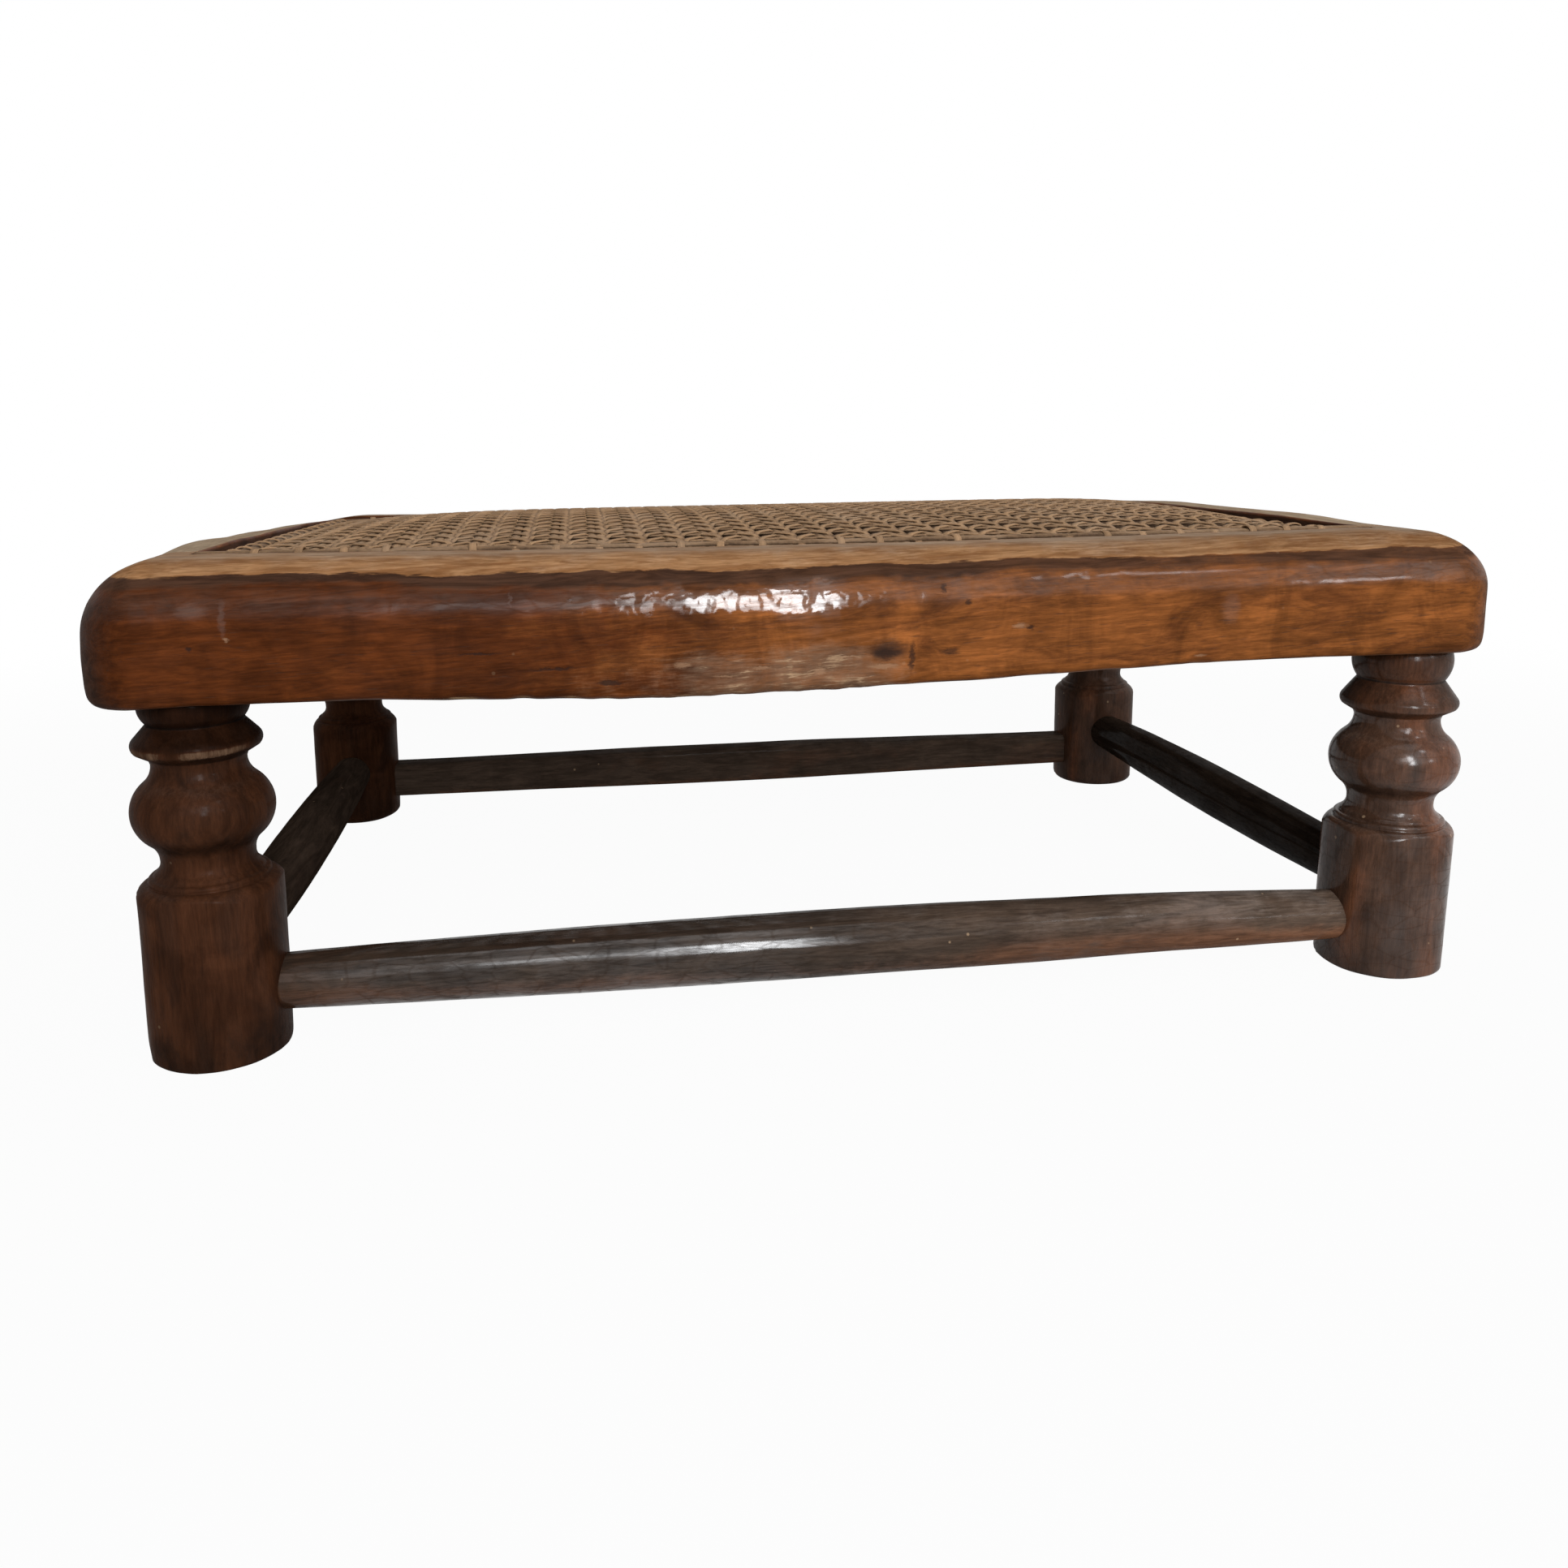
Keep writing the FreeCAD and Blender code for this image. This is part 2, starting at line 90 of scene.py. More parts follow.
def addNode(tree, kind, inputs=None, **settings):
    node = tree.nodes.new(kind)
    for name, value in settings.items():
        setattr(node, name, value)
    plug(tree, node, inputs or {})
    return node


def newMaterial(name):
    material = bpy.data.materials.new(name)
    material.use_nodes = True
    return material, material.node_tree, material.node_tree.nodes["Principled BSDF"]


def calc(tree, operation, first, second=0.0, clamp=False):
    inputs = {0: first, 1: second}
    return addNode(tree, "ShaderNodeMath", inputs, operation=operation, use_clamp=clamp).outputs[0]


def plusShare(tree, base, value, share):
    return calc(tree, "ADD", base, calc(tree, "MULTIPLY", value, share))


def stirred(tree, base, cloud, share):
    # moves a value up and down by a share of a noise, which is 0.5 on average
    return plusShare(tree, base, calc(tree, "SUBTRACT", cloud, 0.5), share)


def remap(tree, value, fromLow, fromHigh, toLow=0.0, toHigh=1.0):
    inputs = {"Value": value, "From Min": fromLow, "From Max": fromHigh, "To Min": toLow, "To Max": toHigh}
    return addNode(tree, "ShaderNodeMapRange", inputs, interpolation_type="SMOOTHSTEP").outputs["Result"]


def blendColour(tree, amount, first, second, mode="MIX"):
    inputs = {0: amount, 6: first, 7: second}
    return addNode(tree, "ShaderNodeMix", inputs, data_type="RGBA", blend_type=mode).outputs[2]


def vectorCalc(tree, operation, first, second, outlet="Vector"):
    return addNode(tree, "ShaderNodeVectorMath", {0: first, 1: second}, operation=operation).outputs[outlet]


def noiseAt(tree, vector, scale, detail=3.0, roughness=0.5, distortion=0.0, outlet="Fac"):
    inputs = {"Vector": vectorCalc(tree, "MULTIPLY", vector, scale), "Scale": 1.0, "Detail": detail,
              "Roughness": roughness, "Distortion": distortion}
    return addNode(tree, "ShaderNodeTexNoise", inputs).outputs[outlet]


def painted(tree, name):
    return addNode(tree, "ShaderNodeAttribute", attribute_name=name).outputs["Fac"]


def newGroup(name, inputs, outputs):
    group = bpy.data.node_groups.new(name, "ShaderNodeTree")
    for socket in inputs:
        group.interface.new_socket(socket, in_out="INPUT", socket_type="NodeSocketVector")
    for socket in outputs:
        group.interface.new_socket(socket, in_out="OUTPUT", socket_type="NodeSocketFloat")
    return group, group.nodes.new("NodeGroupInput").outputs, group.nodes.new("NodeGroupOutput")


def useGroup(tree, group, **inputs):
    return addNode(tree, "ShaderNodeGroup", inputs, node_tree=group).outputs


def grainGroup():
    # wood grain that runs along x: broad figure, streaks, fine fibre and short open pores
    group, given, outlet = newGroup("grain", ("Vector",), ("Figure", "Streak", "Fibre", "Pores"))
    vector = given["Vector"]
    figure = noiseAt(group, vector, (24.0, 70.0, 70.0), 6.0, 0.66, 1.4)
    streak = noiseAt(group, vector, (32.0, 270.0, 270.0), 5.0, 0.66, 1.3)
    fibre = noiseAt(group, vector, (150.0, 1300.0, 1300.0), 3.0, 0.6, 0.7)
    pores = remap(group, noiseAt(group, vector, (170.0, 2100.0, 2100.0), 1.5, 0.5), 0.62, 0.76)
    plug(group, outlet, {"Figure": figure, "Streak": streak, "Fibre": fibre, "Pores": pores})
    return group


def marksGroup():
    # marks of age on any wood: worm holes, pale flecks, cloudy scuffs, upright smudges and cracked polish
    group, given, outlet = newGroup("marks", ("Vector",), ("Holes", "Flecks", "Scuffs", "Smudges", "Crackle"))
    vector = given["Vector"]

    def spots(scale, radius, chosen):
        cells = addNode(group, "ShaderNodeTexVoronoi", {"Vector": vector, "Scale": scale, "Randomness": 1.0})
        near = remap(group, cells.outputs["Distance"], radius, radius * 0.55)
        pick = addNode(group, "ShaderNodeSeparateColor", {"Color": cells.outputs["Color"]}).outputs["Red"]
        return calc(group, "MULTIPLY", near, calc(group, "GREATER_THAN", pick, chosen))

    holes = spots(52.0, 0.036, 0.62)
    flecks = spots(170.0, 0.11, 0.86)
    scuffs = noiseAt(group, vector, (70.0, 70.0, 70.0), 6.0, 0.65, 0.4)
    smudges = noiseAt(group, vector, (58.0, 58.0, 40.0), 4.0, 0.6, 0.9)
    drawn = vectorCalc(group, "MULTIPLY", vector, (90.0, 230.0, 230.0))
    torn = addNode(group, "ShaderNodeTexVoronoi", {"Vector": drawn, "Scale": 1.0, "Randomness": 1.0},
                   feature="DISTANCE_TO_EDGE").outputs["Distance"]
    plug(group, outlet, {"Holes": holes, "Flecks": flecks, "Scuffs": scuffs, "Smudges": smudges,
                         "Crackle": remap(group, torn, 0.06, 0.01, 0.0, 0.35)})
    return group


def spotGroup():
    # one soft oval mark at a place on a face that looks along y
    group, given, outlet = newGroup("spot", ("Vector", "Centre", "Shrink"), ("Mask",))
    away = vectorCalc(group, "SUBTRACT", given["Vector"], given["Centre"])
    away = vectorCalc(group, "MULTIPLY", away, given["Shrink"])
    far = vectorCalc(group, "LENGTH", away, (0.0, 0.0, 0.0), "Value")
    plug(group, outlet, {"Mask": remap(group, far, 1.25, 0.4)})
    return group


grain = grainGroup()
marks = marksGroup()
spot = spotGroup()


def oldWood(name, look, faceMarks=()):
    # polished old wood: painted masks say where it is rubbed, dirty, in painted shade, bare, warm, dusty or
    # polished
    material, tree, shader = newMaterial(name)
    place = addNode(tree, "ShaderNodeTexCoord").outputs["Object"]
    turned = addNode(tree, "ShaderNodeMapping", {"Vector": place, "Rotation": look["turn"]}).outputs["Vector"]
    grainOut = useGroup(tree, grain, Vector=turned)
    marksOut = useGroup(tree, marks, Vector=place)
    fibre, streak, pores = grainOut["Fibre"], grainOut["Streak"], grainOut["Pores"]
    scuffs = marksOut["Scuffs"]

    def broken(mask, low, high, byScuff, byFibre):
        # a painted mask with an edge that follows scuffs and fibres
        lifted = stirred(tree, painted(tree, mask), scuffs, byScuff)
        return remap(tree, stirred(tree, lifted, fibre, byFibre), low, high)

    def over(ground, mask, share, colour):
        return blendColour(tree, calc(tree, "MULTIPLY", mask, share), ground, colour)

    def shaded(ground, value, low, high, limits):
        return blendColour(tree, 1.0, ground, remap(tree, value, low, high, *limits), "MULTIPLY")

    ground = blendColour(tree, broken("warmth", 0.2, 0.8, 0.8, 0.2), look["dark"], look["warm"])
    ground = over(ground, remap(tree, grainOut["Figure"], 0.44, 0.68), look["figure"], look["deep"])
    ground = shaded(ground, streak, 0.32, 0.68, look["streak"])
    ground = shaded(ground, fibre, 0.3, 0.72, look["fibre"])
    ground = shaded(ground, marksOut["Smudges"], 0.36, 0.62, look["smudge"])
    ground = over(ground, pores, look["pores"], look["grime"])
    dust = broken("dust", 0.25, 0.95, 0.8, 0.4)
    film = shaded(look["dusty"], streak, 0.32, 0.68, (0.84, 1.12))
    film = shaded(film, fibre, 0.3, 0.72, (0.86, 1.08))
    film = shaded(film, scuffs, 0.35, 0.65, (0.9, 1.07))
    ground = over(ground, dust, look["dustShare"], film)
    # grime paints dirt, and also painted shade in the recess under the cane and on the legs' downward faces
    grime = broken("grime", 0.2, 0.8, 0.7, 0.5)
    dirtAndShade = shaded(look["grime"], streak, 0.34, 0.66, (0.6, 1.4))
    ground = over(ground, grime, 0.9, dirtAndShade)
    rub = broken("rub", 0.34, 0.66, 0.5, 0.9)
    rubColour = blendColour(tree, remap(tree, streak, 0.35, 0.66), look["rubDark"], look["rubPale"])
    rubColour = shaded(rubColour, fibre, 0.3, 0.72, (0.78, 1.12))
    rubColour = over(rubColour, dust, 0.85, film)
    ground = blendColour(tree, rub, ground, rubColour)
    bare = broken("bare", 0.42, 0.62, 0.75, 0.7)
    bareColour = blendColour(tree, remap(tree, fibre, 0.3, 0.7), look["rubDark"], look["bare"])
    ground = blendColour(tree, bare, ground, bareColour)
    ground = over(ground, marksOut["Flecks"], look["fleck"], look["bare"])
    holes = calc(tree, "MULTIPLY", marksOut["Holes"], look["worm"])
    ground = blendColour(tree, holes, ground, look["hole"])
    ground = blendColour(tree, 1.0, ground, painted(tree, "tone"), "MULTIPLY")
    dug = holes
    if faceMarks:
        # single marks have ragged outlines because their place is read through a jittered vector
        jitter = noiseAt(tree, place, (300.0, 300.0, 600.0), 5.0, 0.7, outlet="Color")
        jitter = vectorCalc(tree, "SUBTRACT", jitter, (0.5, 0.5, 0.5))
        jitter = vectorCalc(tree, "MULTIPLY", jitter, (4.0 * mm, 0.0, 2.6 * mm))
        loose = vectorCalc(tree, "ADD", place, jitter)
        for colour, share, ovals in faceMarks:
            for x, z, halfWide, halfHigh in ovals:
                shrink = (1.0 / (halfWide * mm), 0.0, 1.0 / (halfHigh * mm))
                mask = useGroup(tree, spot, Vector=loose, Centre=(x * mm, 0.0, z * mm), Shrink=shrink)["Mask"]
                mask = calc(tree, "MULTIPLY", mask, remap(tree, fibre, 0.25, 0.5, 0.55, 1.0))
                ground = over(ground, mask, share, colour)
                dug = calc(tree, "MAXIMUM", dug, calc(tree, "MULTIPLY", mask, share * 0.5))

    # the coat is gone where the wood is rubbed, bare, dusty, dirty, painted dark or dug into
    matt = calc(tree, "MAXIMUM", bare, dug)
    for mask, share in ((rub, 0.95), (dust, 0.6), (grime, 0.55)):
        matt = calc(tree, "MAXIMUM", matt, calc(tree, "MULTIPLY", mask, share))
    rough = remap(tree, scuffs, 0.3, 0.7, *look["rough"])
    rough = calc(tree, "ADD", rough, calc(tree, "MULTIPLY", matt, 0.4), clamp=True)
    polish = painted(tree, "polish")
    for kept in (remap(tree, fibre, 0.36, 0.58, look["coatFibre"], 1.0),
                 remap(tree, scuffs, 0.38, 0.6, 0.55, 1.0),
                 calc(tree, "SUBTRACT", 1.0, marksOut["Crackle"], clamp=True),
                 calc(tree, "SUBTRACT", 1.0, matt, clamp=True)):
        polish = calc(tree, "MULTIPLY", polish, kept)

    relief = calc(tree, "MULTIPLY", fibre, look["relief"])
    for mark, depth in ((streak, 0.6), (pores, -0.35), (dug, -2.5), (scuffs, 1.1)):
        relief = plusShare(tree, relief, mark, depth)
    bump = addNode(tree, "ShaderNodeBump", {"Strength": 0.55, "Distance": 0.35 * mm, "Height": relief})
    plug(tree, shader, {"Base Color": ground, "Roughness": rough, "Coat Weight": polish,
                        "Normal": bump.outputs["Normal"]})
    shader.inputs["Coat Roughness"].default_value = look["coatRough"]
    shader.inputs["Specular IOR Level"].default_value = look["gloss"]
    return material


alongX = (0.0, 0.0, 0.0)
alongY = (0.0, 0.0, math.radians(90.0))
alongZ = (0.0, math.radians(90.0), 0.0)

railLook = {
    "turn": (0.0, math.radians(2.5), 0.0),
    "dark": (0.08, 0.0205, 0.0045, 1.0),
    "warm": (0.192, 0.0615, 0.0148, 1.0),
    "deep": (0.05, 0.0145, 0.005, 1.0),
    "grime": (0.043, 0.021, 0.0125, 1.0),
    "dusty": (0.365, 0.275, 0.197, 1.0),
    "rubDark": (0.195, 0.085, 0.032, 1.0),
    "rubPale": (0.33, 0.172, 0.078, 1.0),
    "bare": (0.34, 0.22, 0.128, 1.0),
    "hole": (0.006, 0.004, 0.003, 1.0),
    "dustShare": 0.5,
    "figure": 0.6,             # share of the deep colour, then the shading from dark to light of each grain
    "streak": (0.7, 1.25),
    "fibre": (0.78, 1.14),
    "smudge": (0.75, 1.15),
    "pores": 0.45,
    "rough": (0.42, 0.58),
    "gloss": 0.03,
    "coatRough": 0.105,
    "coatFibre": 0.5,          # how little polish is left along the darkest fibres
    "relief": 0.5,
    "worm": 0.0,
    "fleck": 0.12,
}
legLook = dict(
    railLook, turn=alongZ, dark=(0.046, 0.0225, 0.0135, 1.0), warm=(0.09, 0.033, 0.015, 1.0),
    deep=(0.03, 0.017, 0.012, 1.0), grime=(0.016, 0.0105, 0.008, 1.0), dusty=(0.13, 0.09, 0.068, 1.0),
    rubDark=(0.09, 0.046, 0.026, 1.0), rubPale=(0.19, 0.11, 0.066, 1.0), bare=(0.3, 0.2, 0.12, 1.0),
    figure=0.45, streak=(0.8, 1.18), fibre=(0.85, 1.1), smudge=(0.68, 1.2), worm=0.95, fleck=0.45,
    pores=0.15, gloss=0.01, coatRough=0.16, coatFibre=0.85)
stretcherLook = dict(
    legLook, turn=alongX, dark=(0.044, 0.029, 0.0205, 1.0), warm=(0.1, 0.044, 0.023, 1.0),
    deep=(0.02, 0.0135, 0.0105, 1.0), dusty=(0.17, 0.14, 0.12, 1.0), dustShare=0.7, worm=0.6,
    streak=(0.72, 1.3), fibre=(0.8, 1.1), smudge=(0.9, 1.06), gloss=0.0, coatRough=0.13, coatFibre=0.55)

# single marks on the front face, as (x, z, half width, half height) in millimetres
darkMark = (0.022, 0.012, 0.009, 1.0)
paleMark = (0.29, 0.165, 0.095, 1.0)
greyMark = (0.23, 0.17, 0.15, 1.0)
frontMarks = (
    (greyMark, 0.13, ((-161.5, 125.0, 1.0, 5.0), (-169.0, 127.0, 4.0, 2.2), (-89.3, 127.9, 0.5, 2.0),
                      (-72.0, 127.5, 1.5, 1.0), (113.0, 119.5, 3.0, 4.5))),
    (darkMark, 0.8, ((13.0, 111.2, 6.2, 3.0), (12.0, 110.0, 4.0, 2.0), (19.3, 108.8, 0.9, 4.5),
                     (30.2, 110.0, 3.0, 1.2), (28.6, 127.6, 0.8, 1.4), (-97.7, 113.9, 5.5, 0.35),
                     (-79.0, 109.1, 6.5, 0.4), (-170.0, 117.6, 0.9, 0.9), (53.4, 116.0, 1.1, 0.9),
                     (-64.0, 104.8, 4.0, 0.8), (35.6, 123.6, 1.0, 0.7))),
    (paleMark, 0.6, ((50.3, 116.6, 2.4, 0.8), (-160.9, 119.8, 0.8, 0.7), (-44.4, 108.9, 2.2, 0.9),
                     (11.3, 106.6, 4.5, 0.8), (-6.6, 105.9, 1.8, 1.1), (-23.0, 107.4, 3.0, 0.4),
                     (-17.0, 109.2, 2.6, 0.4), (104.7, 106.2, 2.0, 0.6), (2.0, 109.6, 3.4, 0.35),
                     (-33.0, 105.4, 3.6, 0.4), (196.0, 116.5, 0.5, 2.0))),
)

frontRailWood = oldWood("front_rail_wood", railLook, frontMarks)
longRailWood = oldWood("long_rail_wood", railLook)
sideRailWood = oldWood("side_rail_wood", dict(railLook, turn=alongY, dusty=(0.36, 0.277, 0.19, 1.0)))
legWood = oldWood("leg_wood", legLook)
longStretcherWood = oldWood("long_stretcher_wood", stretcherLook)
sideStretcherWood = oldWood("side_stretcher_wood", dict(stretcherLook, turn=alongY))
print("wood finishes ready")

caneLook = {
    "dirtAndShade": (0.085, 0.05, 0.031, 1.0),
    "straw": (0.315, 0.19, 0.103, 1.0),
    "dust": (0.275, 0.193, 0.13, 1.0),
}


def oldCane(name, look):
    # split rattan: fibres along each strand, every strand a little different; dirt and painted shade in the
    # low places, a painted highlight on the crowns
    material, tree, shader = newMaterial(name)
    strand = addNode(tree, "ShaderNodeUVMap", uv_map="strand").outputs["UV"]
    place = addNode(tree, "ShaderNodeTexCoord").outputs["Object"]
    fibre = noiseAt(tree, strand, (14.0, 0.09, 1.0), 4.0, 0.6)
    strip = addNode(tree, "ShaderNodeSeparateXYZ", {0: strand}).outputs["X"]
    odd = addNode(tree, "ShaderNodeTexWhiteNoise", {"W": calc(tree, "FLOOR", strip)}, noise_dimensions="1D")
    patch = noiseAt(tree, place, (38.0, 38.0, 38.0), 4.0, 0.6)
    speckle = noiseAt(tree, place, (900.0, 900.0, 900.0), 2.0, 0.6)
    clean = stirred(tree, painted(tree, "crest"), patch, 0.9)
    clean = stirred(tree, clean, speckle, 0.5)
    # the crest mask is painted light and shade: low places darker, crowns lighter
    ground = blendColour(tree, remap(tree, clean, 0.1, 0.8), look["dirtAndShade"], look["straw"])
    shade = calc(tree, "MULTIPLY", remap(tree, fibre, 0.3, 0.7, 0.75, 1.12),
                 remap(tree, odd.outputs["Value"], 0.0, 1.0, 0.84, 1.1))
    ground = blendColour(tree, 1.0, ground, shade, "MULTIPLY")
    ground = blendColour(tree, remap(tree, patch, 0.45, 0.75, 0.0, 0.5), ground, look["dust"])
    rough = remap(tree, clean, 0.2, 0.9, 0.85, 0.65)
    relief = plusShare(tree, fibre, speckle, 0.4)
    bump = addNode(tree, "ShaderNodeBump", {"Strength": 0.4, "Distance": 0.15 * mm, "Height": relief})
    plug(tree, shader, {"Base Color": ground, "Roughness": rough, "Normal": bump.outputs["Normal"]})
    shader.inputs["Specular IOR Level"].default_value = 0.06
    return material


caneFinish = oldCane("old_cane", caneLook)
print("cane finish ready")


# Pieces

paintNames = ("rub", "grime", "bare", "warmth", "dust", "polish", "tone")
front, back = Vector((0.0, -1.0, 0.0)), Vector((0.0, 1.0, 0.0))
left, right = Vector((-1.0, 0.0, 0.0)), Vector((1.0, 0.0, 0.0))


def addPaint(bm):
    for name in paintNames:
        bm.verts.layers.float.new(name)
    return {name: bm.verts.layers.float[name] for name in paintNames}


def paintVert(vert, paint, **values):
    for name, value in values.items():
        vert[paint[name]] = min(max(value, 0.0), 2.0)


def toObject(bm, name):
    mesh = bpy.data.meshes.new(name)
    bm.to_mesh(mesh)
    bm.free()
    made = bpy.data.objects.new(name, mesh)
    scene.collection.objects.link(made)
    return made


def addPiece(bm, name, material, slotName, *nodeNames):
    piece = toObject(bm, name)
    piece.data.shade_smooth()
    piece.data.materials.append(material)
    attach(piece, "root")
    if nodeNames:
        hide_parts(*nodeNames)
    print(name, len(piece.data.polygons), "faces")
    return piece


def relax(bm, verts):
    bmesh.ops.smooth_vert(bm, verts=verts, factor=0.5, use_axis_x=True, use_axis_y=True, use_axis_z=True)


def lathe(bm, axis, steps):
    bmesh.ops.spin(bm, geom=list(bm.verts) + list(bm.edges), cent=(0, 0, 0), axis=axis, dvec=(0, 0, 0),
                   angle=fullTurn, steps=steps, use_merge=True)
    bmesh.ops.remove_doubles(bm, verts=bm.verts, dist=0.005 * mm)
    bmesh.ops.recalc_face_normals(bm, faces=bm.faces)


def crestValues(bm):
    # how far each vertex stands out from its neighbours, as a share of the edge length, averaged once
    raw = []
    for vert in bm.verts:
        around = [edge.other_vert(vert).co for edge in vert.link_edges]
        centre = sum(around, Vector()) / len(around)
        span = sum((co - vert.co).length for co in around) / len(around)
        raw.append((vert.co - centre).dot(vert.normal) / span)
    bm.verts.index_update()
    soft = []
    for vert in bm.verts:
        near = [raw[edge.other_vert(vert).index] for edge in vert.link_edges]
        soft.append((raw[vert.index] + sum(near)) / (1 + len(near)))
    return soft


def evenSkin(nodeName, voxel, smoothing):
    # a merged copy of the node with even quads, so that dents and wear have points to move
    bm = bmesh.new()
    bm.from_mesh(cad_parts[nodeName].data)
    bmesh.ops.remove_doubles(bm, verts=bm.verts, dist=0.002 * mm)
    blank = toObject(bm, "blank")
    mesh = blank.data
    skin = blank.modifiers.new("skin", "REMESH")
    skin.mode = "VOXEL"
    skin.voxel_size = voxel
    bm = bmesh.new()
    bm.from_object(blank, bpy.context.evaluated_depsgraph_get())
    bpy.data.objects.remove(blank)
    bpy.data.meshes.remove(mesh)
    for step in range(smoothing):
        relax(bm, bm.verts)
    bm.normal_update()
    return bm


# Age of the whole seat frame, in millimetres: the front rail has sunk in the middle, the back left corner has
# dropped, and the front corners are worn back
seatAge = {
    "under": 104.0,
    "top": 140.0,
    "frontSag": 1.6,
    "frontReach": 190.0,
    "backDrop": ((-160, 1.4), (-139, 1.6), (-89, 2.0), (-54, 1.7), (-24, 1.1), (150, 1.0), (200, 1.4)),
    "leftDrop": ((-134, 0.8), (-95, 0.4), (-58, -0.5), (-20, 0.8), (36, 2.2), (80, 2.8), (134, 3.6)),
    "rightDrop": ((-134, 1.0), (-90, 0.5), (-40, -0.8), (40, -1.0), (100, -0.7), (134, -0.4)),
    # where up the end its wear begins, the most of it, its power, and how far the end stands out
    "endPush": {"left": (115.0, 3.8, 1.6, -0.3), "right": (119.0, 3.2, 3.0, 0.75)},
}


def settle(x, y):
    # how far the top of the seat has gone down
    drop = seatAge["frontSag"] * max(0.0, 1.0 - (x / seatAge["frontReach"]) ** 2)
    drop *= 1.0 - smoothStep(-100.0, 100.0, y)
    drop += alongStations(seatAge["backDrop"], x) * smoothStep(40.0, 115.0, y)
    drop += alongStations(seatAge["leftDrop"], y) * smoothStep(-164.0, -194.0, x)
    return drop + alongStations(seatAge["rightDrop"], y) * smoothStep(164.0, 186.0, x)


def wornShift(x, y, z):
    # movement of a point of the frame: settling, and ends worn rounder than they were made
    under, top = seatAge["under"], seatAge["top"]
    height = min(max((z - under) / (top - under), 0.0), 1.0)
    start, amount, power, out = seatAge["endPush"]["left" if x < 0 else "right"]
    push = amount * max(0.0, (z - start) / (top - 1.0 - start)) ** power * smoothStep(-55.0, -110.0, y) - out
    push = (push + 0.4 * smoothStep(under + 6.0, under, z)) * smoothStep(178.0, 192.0, abs(x))
    return Vector((push if x < 0 else -push, 0.0, -settle(x, y) * height))


seatRails = {
    "voxel": 1.0 * mm,
    "smoothing": 2,
    "wave": 0.28 * mm,          # slow unevenness left by hand planes and by use
    "ripple": 0.09 * mm,
    "pull": 0.03 * mm,          # fine ridges along the grain of the polished edge
    "wrinkle": 0.06 * mm,       # creases in the old polish, only in the brightest stretch
    "bright": {"x": (-66.0, 14.0), "y": -122.0, "z": (113.0, 137.0)},
    "recess": (176.0, 105.0),   # half width and half depth of the opening
    "lowerEdge": ((-200, -2.6), (-169, -1.8), (-129, -1.8), (-99, -3.0), (-49, -4.6), (-7, -4.0), (35, -3.0),
                  (61, -2.0), (84, -1.35), (102, -0.7), (116, -0.25), (135, -0.1), (200, -0.6)),
    "wornTilt": 41.0,           # degrees from the top where the worn land ends
    "bandTilt": 67.0,           # and where the dark band below it fades out
    "bandShare": ((-200, 0.95), (-20, 0.95), (40, 0.85), (150, 0.8), (200, 0.7)),
    "veil": 0.44,               # a thinner darkening below that band
    "shineTilt": (50.0, 62.0),  # where the polish of the edge begins
    "shine": ((-200, 0.15), (-150, 0.22), (-115, 0.3), (-80, 0.26), (-64, 0.42), (-49, 0.42), (-41, 1.35),
              (-3, 1.35), (3, 0.4), (40, 0.6), (75, 0.35), (125, 0.45), (150, 0.9), (172, 0.9), (190, 0.5)),
    # on the front face, in millimetres: where the wood turns warm, where the dirty middle begins and ends and
    # how high it comes, the paler middle, and the dark ends
    "warmFrom": (-115.0, 10.0),
    "dirtyFrom": (-105.0, -25.0),
    "dirtyTo": (12.0, 28.0),
    "dirtyTop": (110.0, 122.0),
    "paler": (-75.0, -25.0, 20.0, 60.0),
    "endsFrom": (180.0, 199.0),
    # chips out of the lower edge, as (x, half length), and how far they reach in and up
    "chips": ((-102, 8.0), (-87, 5.0), (-75, 9.0), (-65, 5.0), (-54, 9.0), (-42, 8.0), (-32, 6.0), (-19, 8.0),
              (-7, 6.0), (3, 5.0), (12, 9.0), (104, 5.0)),
    "chipReach": (5.0, 2.4),
}


def refine(bm):
    # the brightest stretch of the front edge gets finer quads, so that it can carry creases
    reach = seatRails["bright"]

    def inside(vert):
        x, y, z = vert.co / mm
        return reach["x"][0] < x < reach["x"][1] and y < reach["y"] and reach["z"][0] < z < reach["z"][1]

    edges = [edge for edge in bm.edges if inside(edge.verts[0]) and inside(edge.verts[1])]
    bmesh.ops.subdivide_edges(bm, edges=edges, cuts=1, use_grid_fill=True)
    relax(bm, [vert for vert in bm.verts if inside(vert)])
    bm.normal_update()


def tiltOf(vert, outward):
    # degrees that the surface leans away from the top, past the outer face to the underside
    flat = Vector((vert.normal.x, vert.normal.y, 0.0))
    lean = -flat.length if flat.dot(outward) < -0.6 * flat.length else flat.length
    return math.degrees(math.atan2(lean, vert.normal.z))


def pressDents(bm, dents):
    # shallow bruises: every vertex near a dent sinks along its normal
    tree = kdtree.KDTree(len(bm.verts))
    for index, vert in enumerate(bm.verts):
        tree.insert(vert.co, index)
    tree.balance()
    bm.verts.ensure_lookup_table()
    for centre, radius, depth in dents:
        for co, index, distance in tree.find_range(centre, radius):
            vert = bm.verts[index]
            vert.co -= vert.normal * depth * (1.0 - (distance / radius) ** 2) ** 2


